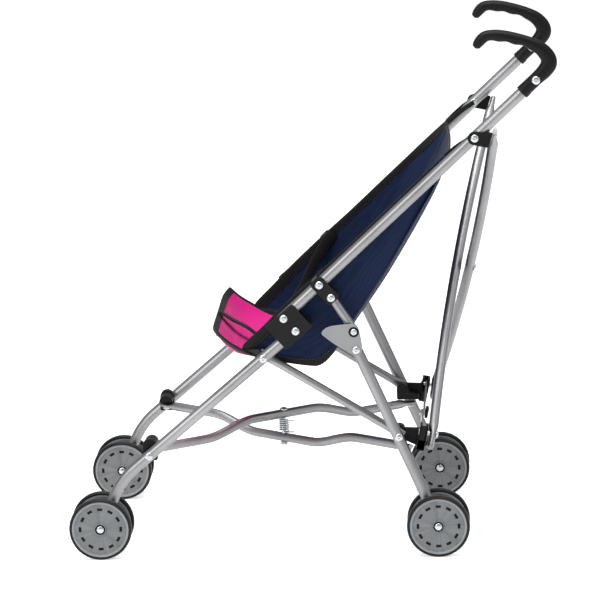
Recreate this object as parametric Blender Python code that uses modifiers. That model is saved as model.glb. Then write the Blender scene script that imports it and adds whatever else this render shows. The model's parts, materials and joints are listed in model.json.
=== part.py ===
"""Doll stroller with an umbrella fold, as separate sub-parts.

Metres, +Z up. The stroller faces -Y and its left side is +X. The floor is z = 0.
Side views below are written as (y, z) points in the plane of the left side frame; the right side is its mirror image.
"""

import math

import bmesh
import bpy
from mathutils import Matrix, Vector

# ---------------------------------------------------------------- driving sizes
SIDE_X = 0.113              # the plane of each side frame
LEG_R = 0.0056              # front leg, rear leg and handle tube
BRACE_R = 0.0042            # tube along the seat's underside
CROSS_R = 0.0047            # tubes of the lower cross
BACK_R = 0.0050             # tubes of the back cross
LINK_R = 0.0046             # short tube of the side lock
GAP = 0.0003                # clearance between neighbouring solids

WHEEL_R = 0.0315
WHEEL_W = 0.0085
WHEEL_OUT = 0.01375         # from the side plane to the middle of each twin wheel
AXLE_R = 0.0020

LEG_DEG = 40.3              # slope of the front leg
TUBE_DEG = 43.0             # slope of the handle tube

FRONT_AXLE = (-0.2142, WHEEL_R)
REAR_AXLE = (0.1240, WHEEL_R)
LEG_BEND = (-0.1925, 0.0790)
FRONT_PIN = (-0.1641, 0.1037)   # front leg on its knuckle
BRACE_PIN = (-0.0475, 0.2026)   # front end of the brace
LEG_TOP = (-0.0146, 0.2305)     # fixed rivet of the side bracket
ELBOW = (-0.0262, 0.2433)       # handle tube on the side bracket
CLIP_PIN = (0.0097, 0.2768)     # fixed rivet of the link clip
LINK_PIN = (0.0211, 0.2639)     # link on its clip
LOCK_PIN = (0.0430, 0.2294)     # link on the lock plate
PLATE_PIN = (0.0450, 0.2110)    # lock plate on the rear leg
REAR_PIN = (0.0858, 0.1208)     # rear leg, brace, back bracket and knuckle
TOP_PIN = (0.1645, 0.4211)      # fixed rivet of the top bracket
BACK_LOW = (0.1168, 0.1075)     # lower end of the back cross
BACK_TOP = (0.1838, 0.4217)     # upper end of the back cross

CROSS_Y = -0.035            # pivot bolt of the lower cross
CROSS_Z = 0.1045
CROSS_ARM_X = 0.092         # knuckle axis, from the middle
CROSS_ARM_Y = 0.129         # knuckle axis, fore and aft of the bolt
CROSS_BOW = 0.0125          # one tube bows up and the other down by this much
BACK_FOOT_X = 0.102         # foot of each back tube
BACK_TOP_X = 0.104          # top of each back tube
BACK_BOW = 0.0066

STEEL = ((0.60, 0.60, 0.62), 0.30, 1.0)
ZINC = ((0.70, 0.70, 0.72), 0.25, 1.0)
BLACK = ((0.012, 0.012, 0.012), 0.45, 0.0)
GREY = ((0.24, 0.25, 0.27), 0.50, 0.0)
TYRE = ((0.02, 0.02, 0.022), 0.70, 0.0)
NAVY = ((0.012, 0.018, 0.075), 0.85, 0.0)
PINK = ((0.78, 0.03, 0.30), 0.85, 0.0)

SIDES = (("left", 1), ("right", -1))


# ---------------------------------------------------------------- scene helpers
def clear_scene():
    for obj in list(bpy.data.objects):
        bpy.data.objects.remove(obj, do_unlink=True)


def new_collection(name):
    collection = bpy.data.collections.new(name)
    bpy.context.scene.collection.children.link(collection)
    return collection


def make_material(name, look):
    colour, roughness, metallic = look
    material = bpy.data.materials.new(name)
    material.use_nodes = True
    shader = material.node_tree.nodes["Principled BSDF"]
    shader.inputs["Base Color"].default_value = (*colour, 1.0)
    shader.inputs["Roughness"].default_value = roughness
    shader.inputs["Metallic"].default_value = metallic
    material.diffuse_color = (*colour, 1.0)
    return material


def finish_part(obj, name, look):
    """Name an object, give it its material and put it in the stroller's collection."""
    obj.name = name
    obj.data.name = name
    obj.data.materials.clear()
    obj.data.materials.append(make_material(name, look))
    for collection in list(obj.users_collection):
        collection.objects.unlink(obj)
    PARTS.objects.link(obj)
    return obj


def as_mesh(obj):
    """Turn a curve or a modified mesh into a plain mesh with its seams welded."""
    depsgraph = bpy.context.evaluated_depsgraph_get()
    mesh = bpy.data.meshes.new_from_object(obj.evaluated_get(depsgraph))
    matrix = obj.matrix_world.copy()
    bpy.data.objects.remove(obj, do_unlink=True)
    solid = bpy.data.objects.new("solid", mesh)
    solid.matrix_world = matrix
    bpy.context.scene.collection.objects.link(solid)
    work = bmesh.new()
    work.from_mesh(mesh)
    bmesh.ops.remove_doubles(work, verts=work.verts, dist=1e-6)
    bmesh.ops.recalc_face_normals(work, faces=work.faces)
    work.to_mesh(mesh)
    work.free()
    return solid


def set_origin(obj, point):
    """Move an object's origin to its joint's axis without moving its shape."""
    shift = Vector(point) - obj.location
    obj.data.transform(Matrix.Translation(-shift))
    obj.location = point
    return obj


def cut(obj, cutter, operation="DIFFERENCE"):
    """Cut one solid out of another, or join it on."""
    cutter.name = "cutter"
    cutter.display_type = "WIRE"
    cutter.hide_render = True
    for collection in list(cutter.users_collection):
        collection.objects.unlink(cutter)
    CUTTERS.objects.link(cutter)
    modifier = obj.modifiers.new("cut", "BOOLEAN")
    modifier.operation = operation
    modifier.solver = "EXACT"
    modifier.object = cutter
    return obj


def with_cutters(obj):
    return [obj] + [m.object for m in obj.modifiers if m.type == "BOOLEAN"]


def mirror(obj):
    """Mirror a solid and its cutters in the plane x = 0."""
    for solid in with_cutters(obj):
        solid.data.transform(Matrix.Diagonal((-1, 1, 1, 1)))
        solid.data.flip_normals()
    return obj


def shift_x(obj, distance):
    """Move a solid and its cutters along x."""
    for solid in with_cutters(obj):
        solid.data.transform(Matrix.Translation((distance, 0, 0)))
    return obj


# ---------------------------------------------------------------- shape helpers
def tube(points, radius, sides=5, bend=0.0, tips=(1.0, 1.0)):
    """A solid round bar along a line of points. Its corners are rounded by bend and its ends drawn down by tips."""
    path = rounded_path([Vector(p) for p in points], bend)
    factors = [1.0] * len(path)
    if tips[0] < 1.0:
        ahead = (path[1] - path[0]).normalized()
        path[1:1] = [path[0] + ahead * 0.008, path[0] + ahead * 0.013]
        factors[0:1] = [tips[0], tips[0], 1.0]
    if tips[1] < 1.0:
        back = (path[-2] - path[-1]).normalized()
        path[-1:-1] = [path[-1] + back * 0.013, path[-1] + back * 0.008]
        factors[-1:] = [1.0, tips[1], tips[1]]
    curve = bpy.data.curves.new("tube", "CURVE")
    curve.dimensions = "3D"
    curve.bevel_depth = radius
    curve.bevel_resolution = sides - 2
    curve.use_fill_caps = True
    spline = curve.splines.new("POLY")
    spline.points.add(len(path) - 1)
    for spline_point, point, factor in zip(spline.points, path, factors):
        spline_point.co = (*point, 1.0)
        spline_point.radius = factor
    obj = bpy.data.objects.new("tube", curve)
    bpy.context.scene.collection.objects.link(obj)
    return as_mesh(obj)


def rounded_path(points, bend, steps=4):
    """Replace each inner corner of a path by a short quadratic arc."""
    if bend <= 0:
        return points
    path = [points[0]]
    for before, corner, after in zip(points, points[1:], points[2:]):
        start = corner + (before - corner).normalized() * bend
        end = corner + (after - corner).normalized() * bend
        for i in range(steps + 1):
            t = i / steps
            path.append(start * (1 - t) ** 2 + corner * 2 * t * (1 - t) + end * t ** 2)
    path.append(points[-1])
    return path


def slab(outline, low, high):
    """A closed (y, z) outline as a plate between two x values."""
    curve = bpy.data.curves.new("slab", "CURVE")
    curve.dimensions = "2D"
    curve.fill_mode = "BOTH"
    curve.extrude = (high - low) / 2
    spline = curve.splines.new("POLY")
    spline.points.add(len(outline) - 1)
    for spline_point, (y, z) in zip(spline.points, outline):
        spline_point.co = (y, z, 0.0, 1.0)
    spline.use_cyclic_u = True
    obj = bpy.data.objects.new("slab", curve)
    bpy.context.scene.collection.objects.link(obj)
    # the curve's own x, y and z become the world's y, z and x
    obj.matrix_world = Matrix.Translation(((low + high) / 2, 0, 0)) @ Matrix(
        ((0, 0, 1, 0), (1, 0, 0, 0), (0, 1, 0, 0), (0, 0, 0, 1))
    )
    bpy.context.view_layer.update()
    solid = as_mesh(obj)
    solid.data.transform(solid.matrix_world)
    solid.matrix_world = Matrix.Identity(4)
    return solid


def box(low, high):
    """A block between two corners."""
    low, high = Vector(low), Vector(high)
    bpy.ops.mesh.primitive_cube_add(size=1.0)
    obj = bpy.context.object
    obj.data.transform(Matrix.Diagonal((*(high - low), 1.0)))
    obj.data.transform(Matrix.Translation((low + high) / 2))
    return obj


def rod(start, end, radius, sides=16):
    """A cylinder from one point to another."""
    start, end = Vector(start), Vector(end)
    along = end - start
    bpy.ops.mesh.primitive_cylinder_add(vertices=sides, radius=radius, depth=along.length)
    obj = bpy.context.object
    obj.data.transform(along.to_track_quat("Z", "Y").to_matrix().to_4x4())
    obj.data.transform(Matrix.Translation((start + end) / 2))
    return obj


def turned(profile, steps, ring=False):
    """Spin an (x, radius) profile, listed from +x to -x, about the X axis."""
    mesh = bpy.data.meshes.new("turned")
    points = [(x, 0.0, r) for x, r in profile]
    edges = [(i, i + 1) for i in range(len(points) - 1)]
    if ring:
        edges.append((len(points) - 1, 0))
    mesh.from_pydata(points, edges, [])
    obj = bpy.data.objects.new("turned", mesh)
    bpy.context.scene.collection.objects.link(obj)
    screw = obj.modifiers.new("spin", "SCREW")
    screw.axis = "X"
    screw.steps = steps
    screw.render_steps = steps
    screw.use_merge_vertices = True
    screw.merge_threshold = 0.00005
    bpy.context.view_layer.update()
    return as_mesh(obj)


def arc(centre, radius, start_deg, end_deg, steps):
    """Points on a circle in the (y, z) plane."""
    angles = [math.radians(start_deg + (end_deg - start_deg) * i / steps) for i in range(steps + 1)]
    return [(centre[0] + radius * math.cos(a), centre[1] + radius * math.sin(a)) for a in angles]


def mixed(x, point):
    """The world place of a side-view point at the given x."""
    return Vector((x, point[0], point[1]))


def along(point, degrees, distance, aside=0.0):
    """A side-view point moved along a slope, and aside to the slope's upper side."""
    c, s = math.cos(math.radians(degrees)), math.sin(math.radians(degrees))
    return (point[0] + c * distance - s * aside, point[1] + s * distance + c * aside)


def drilled(obj, x_low, x_high, point, radius):
    """Drill a hole along X through a side-view point."""
    return cut(obj, rod(mixed(x_low, point), mixed(x_high, point), radius))


def slope_of(start, end):
    return math.degrees(math.atan2(end[1] - start[1], end[0] - start[0]))


# ---------------------------------------------------------------- side frames
PIN_R = 0.0021              # shank of a pivot rivet
HOLE_R = PIN_R + GAP
LEG_END = 0.0085            # front leg past its fixed rivet
SLEEVE_WALL = 0.0016        # wall of the folded sheet brackets
SLEEVE_HALF = LEG_R + GAP + SLEEVE_WALL


def front_leg(side, sign):
    top = along(LEG_TOP, LEG_DEG, LEG_END)
    bar = tube([mixed(sign * SIDE_X, p) for p in (FRONT_AXLE, LEG_BEND, top)], LEG_R, bend=0.016)
    drilled(bar, sign * (SIDE_X - 0.01), sign * (SIDE_X + 0.01), FRONT_AXLE, AXLE_R + GAP)
    drilled(bar, sign * (SIDE_X - 0.01), sign * (SIDE_X + 0.01), FRONT_PIN, HOLE_R)
    set_origin(bar, mixed(sign * SIDE_X, FRONT_PIN))
    return finish_part(bar, f"front_leg_{side}", STEEL)


def handle_tube(side, sign):
    low = along(ELBOW, TUBE_DEG, -0.0070)
    high = along(ELBOW, TUBE_DEG, HANDLE_TUBE_LENGTH)
    bar = tube([mixed(sign * SIDE_X, p) for p in (low, high)], LEG_R)
    drilled(bar, sign * (SIDE_X - 0.01), sign * (SIDE_X + 0.01), ELBOW, HOLE_R)
    set_origin(bar, mixed(sign * SIDE_X, ELBOW))
    return finish_part(bar, f"handle_tube_{side}", STEEL)


def rear_leg(side, sign):
    slope = slope_of(REAR_AXLE, PLATE_PIN)
    top = along(PLATE_PIN, slope, 0.0045)
    bar = tube([mixed(sign * SIDE_X, p) for p in (REAR_AXLE, top)], LEG_R)
    drilled(bar, sign * (SIDE_X - 0.01), sign * (SIDE_X + 0.01), REAR_AXLE, AXLE_R + GAP)
    drilled(bar, sign * (SIDE_X - 0.01), sign * (SIDE_X + 0.01), REAR_PIN, HOLE_R)
    set_origin(bar, mixed(sign * SIDE_X, REAR_PIN))
    return finish_part(bar, f"rear_leg_{side}", STEEL)


BRACE_X = SIDE_X - SLEEVE_HALF - GAP - BRACE_R


def seat_brace(side, sign):
    slope = slope_of(BRACE_PIN, REAR_PIN)
    front = along(BRACE_PIN, slope, -0.0050)
    rear = along(REAR_PIN, slope, 0.0050)
    bar = tube([mixed(sign * BRACE_X, p) for p in (front, rear)], BRACE_R, tips=(0.55, 1.0))
    drilled(bar, sign * (BRACE_X - 0.01), sign * (BRACE_X + 0.01), REAR_PIN, HOLE_R)
    set_origin(bar, mixed(sign * BRACE_X, REAR_PIN))
    return finish_part(bar, f"seat_brace_{side}", STEEL)


def saddle(start, degrees, length, top, bottom, web):
    """Sheet metal folded over a tube: two cheeks joined by a web above (1) or below (-1)."""
    def band(end, low, high):
        return (
            along(start, degrees, -end, low),
            along(start, degrees, length + end, low),
            along(start, degrees, length + end, high),
            along(start, degrees, -end, high),
        )

    sheet = slab(band(0.0, bottom, top), -SLEEVE_HALF, SLEEVE_HALF)
    low, high = (bottom - 0.01, top - SLEEVE_WALL) if web > 0 else (bottom + SLEEVE_WALL, top + 0.01)
    inside = SLEEVE_HALF - SLEEVE_WALL
    return cut(sheet, slab(band(0.01, low, high), -inside, inside))


def side_bracket(side, sign):
    start = along(LEG_TOP, 41.0, -0.0195)
    sheet = saddle(start, 41.0, 0.0355, 0.0232, -SLEEVE_HALF, -1)
    drilled(sheet, -0.02, 0.02, ELBOW, HOLE_R)
    shift_x(sheet, sign * SIDE_X)
    return finish_part(sheet, f"side_bracket_{side}", BLACK)


def link_clip(side, sign):
    start = along(CLIP_PIN, TUBE_DEG, -0.0072)
    sheet = saddle(start, TUBE_DEG, 0.0144, SLEEVE_HALF, -0.0225, 1)
    drilled(sheet, -0.02, 0.02, LINK_PIN, HOLE_R)
    shift_x(sheet, sign * SIDE_X)
    return finish_part(sheet, f"link_clip_{side}", BLACK)


def lock_link(side, sign):
    slope = slope_of(LINK_PIN, LOCK_PIN)
    high = along(LINK_PIN, slope, -0.0046)
    low = along(LOCK_PIN, slope, 0.0030)
    bar = tube([mixed(sign * SIDE_X, p) for p in (high, low)], LINK_R)
    drilled(bar, sign * (SIDE_X - 0.01), sign * (SIDE_X + 0.01), LINK_PIN, HOLE_R)
    set_origin(bar, mixed(sign * SIDE_X, LINK_PIN))
    return finish_part(bar, f"lock_link_{side}", STEEL)


LOCK_OUTLINE = (
    (0.0097, 0.2283), (0.0158, 0.2343), (0.0247, 0.2362), (0.0405, 0.2375), (0.0465, 0.2365),
    (0.0492, 0.2278), (0.0515, 0.2136), (0.0495, 0.2058), (0.0434, 0.2049), (0.0224, 0.2180),
)


def lock_plate(side, sign):
    low = SIDE_X + LEG_R + GAP
    high = low + 0.0026
    plate = slab(LOCK_OUTLINE, *sorted((sign * low, sign * high)))
    set_origin(plate, mixed(sign * low, PLATE_PIN))
    return finish_part(plate, f"lock_plate_{side}", GREY)


HANDLE_TUBE_LENGTH = 0.3255
GRIP_R = 0.0066
GRIP_ROUTE = (
    (0.2345, 0.4866), (0.2389, 0.4962), (0.2320, 0.5075), (0.2160, 0.5148),
    (0.2010, 0.5185), (0.1850, 0.5203), (0.1745, 0.5185), (0.1672, 0.5115),
)


def handle_grip(side, sign):
    start = along(ELBOW, TUBE_DEG, HANDLE_TUBE_LENGTH + GAP)
    route = [mixed(sign * SIDE_X, p) for p in (start, *GRIP_ROUTE)]
    grip = tube(route, GRIP_R, bend=0.0045)
    set_origin(grip, mixed(sign * SIDE_X, start))
    return finish_part(grip, f"handle_grip_{side}", BLACK)


def top_bracket(side, sign):
    """A moulded sleeve round the handle tube with a lug behind it for the back cross."""
    start = along(TOP_PIN, TUBE_DEG, -0.0085)
    sleeve_r = LEG_R + GAP + 0.0018
    corners = (
        along(start, TUBE_DEG, 0.0, -0.0215),
        along(start, TUBE_DEG, 0.0210, -0.0215),
        along(start, TUBE_DEG, 0.0250, -0.0080),
        along(start, TUBE_DEG, 0.0180, sleeve_r),
        along(start, TUBE_DEG, 0.0, sleeve_r),
    )
    body = slab(corners, -sleeve_r, sleeve_r)
    axis_low = mixed(0, along(start, TUBE_DEG, -0.02))
    axis_high = mixed(0, along(start, TUBE_DEG, 0.05))
    cut(body, rod(axis_low, axis_high, LEG_R + GAP, sides=20))
    # the inner half of the lug is open for the end of the back cross
    pocket = (
        along(start, TUBE_DEG, -0.03, -0.05),
        along(start, TUBE_DEG, 0.05, -0.05),
        along(start, TUBE_DEG, 0.05, -LEG_R - 0.0011),
        along(start, TUBE_DEG, -0.03, -LEG_R - 0.0011),
    )
    low, high = sorted((sign * 0.0015, -sign * 0.02))
    cut(body, slab(pocket, low, high))
    shift_x(body, sign * SIDE_X)
    return finish_part(body, f"top_bracket_{side}", BLACK)


# ---------------------------------------------------------------- knuckles and pins
KNUCKLE_IN = 0.0810
KNUCKLE_STEP = 0.0985       # the ear for the leg's pin lies outside this
FRONT_KNUCKLE_OUT = SIDE_X - LEG_R - GAP
BACK_PLATE_IN = 0.0930
BACK_PLATE_OUT = BRACE_X - BRACE_R - GAP
REAR_KNUCKLE_OUT = BACK_PLATE_IN - GAP
KNUCKLE_FLOOR = CROSS_Z + CROSS_R + 0.0008


def half_round(y, z_low, z_high, half):
    """A (y, z) outline with a flat foot and a round top."""
    return [(y - half, z_low), (y + half, z_low), *arc((y, z_high - half), half, 0, 180, 8)]


def front_knuckle(side, sign):
    y = CROSS_Y - CROSS_ARM_Y
    outline = half_round(y, FRONT_PIN[1] - 0.0070, 0.1185, 0.0075)
    body = slab(outline, KNUCKLE_IN, FRONT_KNUCKLE_OUT)
    room = box((0, y - 0.03, 0), (KNUCKLE_STEP, y + 0.03, KNUCKLE_FLOOR))
    cut(body, room)
    drilled(body, KNUCKLE_STEP - 0.004, 0.12, FRONT_PIN, HOLE_R)
    return knuckle_part(body, f"front_knuckle_{side}", sign, y)


def rear_knuckle(side, sign):
    y = CROSS_Y + CROSS_ARM_Y
    outline = half_round(y - 0.0015, KNUCKLE_FLOOR, 0.1310, 0.0115)
    body = slab(outline, KNUCKLE_IN, REAR_KNUCKLE_OUT)
    drilled(body, KNUCKLE_IN + 0.003, 0.12, REAR_PIN, HOLE_R)
    return knuckle_part(body, f"rear_knuckle_{side}", sign, y)


def knuckle_part(body, name, sign, y):
    if sign < 0:
        mirror(body)
    set_origin(body, (sign * CROSS_ARM_X, y, CROSS_Z))
    return finish_part(body, name, BLACK)




def rivet(name, point, x_in, x_out, sign, tail=True):
    """A rivet along X with a domed head outside and a small tail inside."""
    head = [(x_out + 0.0024, 0.0), (x_out + 0.0021, 0.0018), (x_out + 0.0013, 0.0034), (x_out, 0.0042)]
    shank = [(x_out, PIN_R), (x_in, PIN_R)]
    end = [(x_in, 0.0034), (x_in - 0.0012, 0.0030), (x_in - 0.0012, 0.0)] if tail else [(x_in, 0.0)]
    body = turned(head + shank + end, 14)
    if sign < 0:
        body.rotation_euler.z = math.pi
    body.location = mixed(0, point)
    return finish_part(body, name, ZINC)


def pins(side, sign):
    cheek = SIDE_X + SLEEVE_HALF + GAP
    inner_cheek = SIDE_X - SLEEVE_HALF - GAP
    tube_face = SIDE_X + LEG_R + GAP
    rivet(f"elbow_rivet_{side}", ELBOW, inner_cheek, cheek, sign)
    rivet(f"link_rivet_{side}", LINK_PIN, inner_cheek, cheek, sign)
    rivet(f"front_pivot_rivet_{side}", FRONT_PIN, KNUCKLE_STEP + 0.001, tube_face, sign, tail=False)
    rivet(f"rear_pivot_rivet_{side}", REAR_PIN, KNUCKLE_IN + 0.004, tube_face, sign, tail=False)


# ---------------------------------------------------------------- lower cross
BOW_FLAT = 0.22             # share of each arm in which the bow is level, from the middle
BOW_END = 0.58              # and in which it ends


def eased(t):
    t = min(1.0, max(0.0, t))
    return t * t * (3 - 2 * t)


def cross_tube(name, sign, bow):
    """A tube from the front on one side to the back on the other, bowed at the middle."""
    past = 0.0034
    arm = Vector((CROSS_ARM_X, -CROSS_ARM_Y, 0))
    reach = arm.length + past
    direction = arm.normalized()
    direction.x *= sign
    route = []
    for i in range(-12, 13):
        t = i / 12
        lift = bow * eased((BOW_END - abs(t)) / (BOW_END - BOW_FLAT))
        route.append(direction * reach * -t + Vector((0, CROSS_Y, CROSS_Z + lift)))
    bar = tube(route, CROSS_R)
    cut(bar, rod((0, CROSS_Y, 0.05), (0, CROSS_Y, 0.15), BOLT_R + GAP))
    set_origin(bar, (0, CROSS_Y, CROSS_Z))
    return finish_part(bar, name, STEEL)


BOLT_R = 0.0022
SPRING_R = 0.0038
SPRING_WIRE = 0.00055
SPRING_TURNS = 6


def pivot_bolt():
    low = CROSS_Z - CROSS_BOW - CROSS_R - GAP
    high = CROSS_Z + CROSS_BOW + CROSS_R + GAP
    profile = [
        (high + 0.0024, 0.0), (high + 0.0020, 0.0022), (high, 0.0040), (high, BOLT_R),
        (low, BOLT_R), (low, 0.0040), (low - 0.0030, 0.0040), (low - 0.0030, 0.0),
    ]
    body = turned(profile, 14)
    body.rotation_euler.y = -math.pi / 2
    body.location = (0, CROSS_Y, 0)
    return finish_part(body, "cross_pivot_bolt", ZINC)


def torsion_spring():
    low = CROSS_Z - CROSS_BOW + CROSS_R + 0.0016
    high = CROSS_Z + CROSS_BOW - CROSS_R - 0.0016
    route = [Vector((SPRING_R, CROSS_Y + 0.011, low))]
    steps = SPRING_TURNS * 12
    for i in range(steps + 1):
        turn = 2 * math.pi * i / 12
        height = low + (high - low) * i / steps
        route.append(Vector((SPRING_R * math.cos(turn), CROSS_Y + SPRING_R * math.sin(turn), height)))
    route.append(Vector((SPRING_R, CROSS_Y + 0.011, high)))
    coil = tube(route, SPRING_WIRE, sides=3)
    return finish_part(coil, "torsion_spring", ZINC)


# ---------------------------------------------------------------- back cross and rear lock
BACK_DEG = slope_of(BACK_LOW, BACK_TOP)     # slope of the back cross in side view
BACK_RISE = math.hypot(BACK_TOP[0] - BACK_LOW[0], BACK_TOP[1] - BACK_LOW[1])
FOOT_UP = 0.0126            # rivet of the back cross, up the slope from BACK_LOW
FOOT_PAST = 0.0150
BRACKET_FRONT = 0.0139      # faces of the back bracket, in front of the back cross
BRACKET_REAR = 0.0056
SLOT_FRONT = 0.0121
SLOT_REAR = 0.0081
BAR_T = 0.0015
BAR_SAG = 0.0060


def on_back(x, up, ahead=0.0):
    """A point at x, up the slope of the back cross, and ahead of it."""
    return mixed(x, along(BACK_LOW, BACK_DEG, up, ahead))


def back_outline(low, high, rear, front):
    """A (y, z) rectangle in line with the back cross."""
    corners = ((low, rear), (high, rear), (high, front), (low, front))
    return [along(BACK_LOW, BACK_DEG, up, ahead) for up, ahead in corners]


def back_tube(name, sign):
    """A tube from its foot on one side to the top of the other side, bent at the middle."""
    foot = on_back(sign * BACK_FOOT_X, FOOT_UP)
    top = on_back(-sign * BACK_TOP_X, BACK_RISE)
    direction = (top - foot).normalized()
    ahead = on_back(0, 0, sign * BACK_BOW) - on_back(0, 0)
    route = [foot - direction * FOOT_PAST]
    for i in range(12):
        t = i / 6 - 1
        route.append(foot.lerp(top, i / 12) + ahead * (1 - t * t))
    route.append(top + direction * 0.0038)
    bar = tube(route, BACK_R, tips=(1.0, 0.62))
    cut(bar, rod(on_back(foot.x, FOOT_UP, -0.01), on_back(foot.x, FOOT_UP, 0.01), HOLE_R))
    set_origin(bar, foot)
    return finish_part(bar, name, STEEL)


def back_bracket(side, sign):
    """A moulded arm from the rear pin to the foot of the back cross, slotted for the lock bar."""
    inner, outer = sorted((sign * BACK_PLATE_IN, sign * BACK_PLATE_OUT))
    arm = (
        *arc(REAR_PIN, 0.0052, 120, 240, 6),
        along(BACK_LOW, BACK_DEG, -0.0040, BRACKET_FRONT - 0.002),
        along(BACK_LOW, BACK_DEG, 0.0150, BRACKET_FRONT - 0.002),
    )
    body = slab(arm, inner, outer)
    inner, outer = sorted((sign * BACK_PLATE_IN, sign * (BACK_FOOT_X + 0.0065)))
    cut(body, slab(back_outline(-0.0050, 0.0205, BRACKET_REAR, BRACKET_FRONT), inner, outer), "UNION")
    inner, outer = sorted((sign * 0.08, sign * (BACK_FOOT_X + 0.0050)))
    cut(body, slab(back_outline(0.0060, 0.0300, SLOT_REAR, SLOT_FRONT), inner, outer))
    foot_x = sign * BACK_FOOT_X
    cut(body, rod(on_back(foot_x, FOOT_UP, 0.0), on_back(foot_x, FOOT_UP, 0.02), HOLE_R))
    drilled(body, sign * 0.09, sign * 0.10, REAR_PIN, HOLE_R)
    set_origin(body, mixed(sign * BACK_PLATE_IN, REAR_PIN))
    return finish_part(body, f"back_bracket_{side}", BLACK)


def lock_bar(side, sign):
    """Half of the folding lock: a flat bar that hinges up on the back bracket."""
    rear = SLOT_FRONT - GAP - BAR_T if sign > 0 else SLOT_REAR + GAP
    front = rear + BAR_T
    outline = []
    for x, up, half, start in ((BACK_FOOT_X, FOOT_UP, 0.0042, 90), (0.0, FOOT_UP - BAR_SAG, 0.0042, -90)):
        outline += arc((x, up), half, start, start - 180, 6)
    work = bmesh.new()
    rings = []
    for ahead in (rear, front):
        rings.append([work.verts.new(on_back(sign * x, up, ahead)) for x, up in outline])
    work.faces.new(rings[0])
    work.faces.new(list(reversed(rings[1])))
    for i in range(len(outline)):
        j = (i + 1) % len(outline)
        work.faces.new((rings[0][i], rings[1][i], rings[1][j], rings[0][j]))
    bmesh.ops.recalc_face_normals(work, faces=work.faces)
    mesh = bpy.data.meshes.new("bar")
    work.to_mesh(mesh)
    work.free()
    bar = bpy.data.objects.new("bar", mesh)
    bpy.context.scene.collection.objects.link(bar)
    for x, radius in ((BACK_FOOT_X, HOLE_R), (0.050, 0.0019)):
        up = FOOT_UP - BAR_SAG * (1 - x / BACK_FOOT_X)
        cut(bar, rod(on_back(sign * x, up, 0.0), on_back(sign * x, up, 0.02), radius))
    set_origin(bar, on_back(sign * BACK_FOOT_X, FOOT_UP, (front + rear) / 2))
    return finish_part(bar, f"lock_bar_{side}", STEEL)


def lock_pedal():
    """The foot pedal at the middle of the lock, on the right bar."""
    middle = FOOT_UP - BAR_SAG
    outline = back_outline(middle - 0.0055, middle + 0.0045, SLOT_REAR - 0.0033, SLOT_REAR - GAP)
    pedal = slab(outline, -0.0165, -0.0005)
    bevel = pedal.modifiers.new("round", "BEVEL")
    bevel.width = 0.0010
    bevel.segments = 2
    return finish_part(pedal, "lock_pedal", BLACK)


def foot_rivet(side, sign):
    """The rivet through the back bracket, the lock bar and the foot of the back tube."""
    rear = -BACK_R - GAP
    front = BRACKET_FRONT + GAP
    head = [(rear - 0.0020, 0.0), (rear - 0.0015, 0.0024), (rear, 0.0040), (rear, PIN_R)]
    tail = [(front, PIN_R), (front, 0.0032), (front + 0.0010, 0.0030), (front + 0.0010, 0.0)]
    body = turned(list(reversed(head + tail)), 14)
    foot = on_back(sign * BACK_FOOT_X, FOOT_UP)
    ahead = on_back(0, 0, 1) - on_back(0, 0)
    body.matrix_world = Matrix.Translation(foot) @ ahead.to_track_quat("X", "Z").to_matrix().to_4x4()
    return finish_part(body, f"foot_rivet_{side}", ZINC)


# ---------------------------------------------------------------- wheels
BORE_R = AXLE_R + 0.0002
HUB_R = 0.0058


def wheel(name, sign, axle, outside):
    """One of a pair of twin wheels, dished between its hub and its tyre."""
    half = WHEEL_W / 2
    face = [
        (half - 0.0010, BORE_R), (half - 0.0010, HUB_R - 0.0008), (half - 0.0016, HUB_R),
        (half - 0.0034, HUB_R + 0.0004), (half - 0.0028, 0.0228), (half - 0.0006, 0.0240),
        (half, 0.0252), (half, 0.0288), (half - 0.0010, 0.0305), (half - 0.0026, WHEEL_R),
    ]
    back = [(-x, r) for x, r in reversed(face[3:])]
    back += [(-half, HUB_R - 0.0006), (-half - 0.0022, HUB_R - 0.0012), (-half - 0.0022, BORE_R)]
    body = turned(face + back, 32, ring=True)
    if sign * outside < 0:
        body.rotation_euler.z = math.pi
    body.location = mixed(sign * (SIDE_X + outside * WHEEL_OUT), axle)
    return finish_part(body, name, TYRE)


def axle(name, sign, centre):
    """The axle of a pair of wheels, with a domed cap at each end."""
    reach = WHEEL_OUT + WHEEL_W / 2 - 0.0010
    cap = [(reach + 0.0014, 0.0), (reach + 0.0010, 0.0024), (reach, 0.0036), (reach, AXLE_R)]
    other = [(-x, r) for x, r in reversed(cap)]
    body = turned(cap + other, 16)
    body.location = mixed(sign * SIDE_X, centre)
    return finish_part(body, name, ZINC)


# ---------------------------------------------------------------- seat
SEAT_HALF = 0.0962
CLOTH = 0.0028
SEAT_UNDER = (
    (-0.0920, 0.2240), (-0.0737, 0.2055), (-0.0600, 0.2030), (-0.0413, 0.1968), (-0.0264, 0.1935),
    (-0.0044, 0.1902), (0.0086, 0.1910), (0.0200, 0.1985), (0.0290, 0.2125), (0.0411, 0.2337),
    (0.0584, 0.2579), (0.0758, 0.2851), (0.1307, 0.3791), (0.1390, 0.4000),
)
SEAT_RIM = ((0.0307, 0.3100), (-0.0319, 0.2532), (-0.0690, 0.2160))


def offset(route, distance):
    """Move a (y, z) route sideways, to its left."""
    moved = []
    for i, point in enumerate(route):
        before = route[max(i - 1, 0)]
        after = route[min(i + 1, len(route) - 1)]
        moved.append(along(point, slope_of(before, after), 0.0, distance))
    return moved


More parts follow.
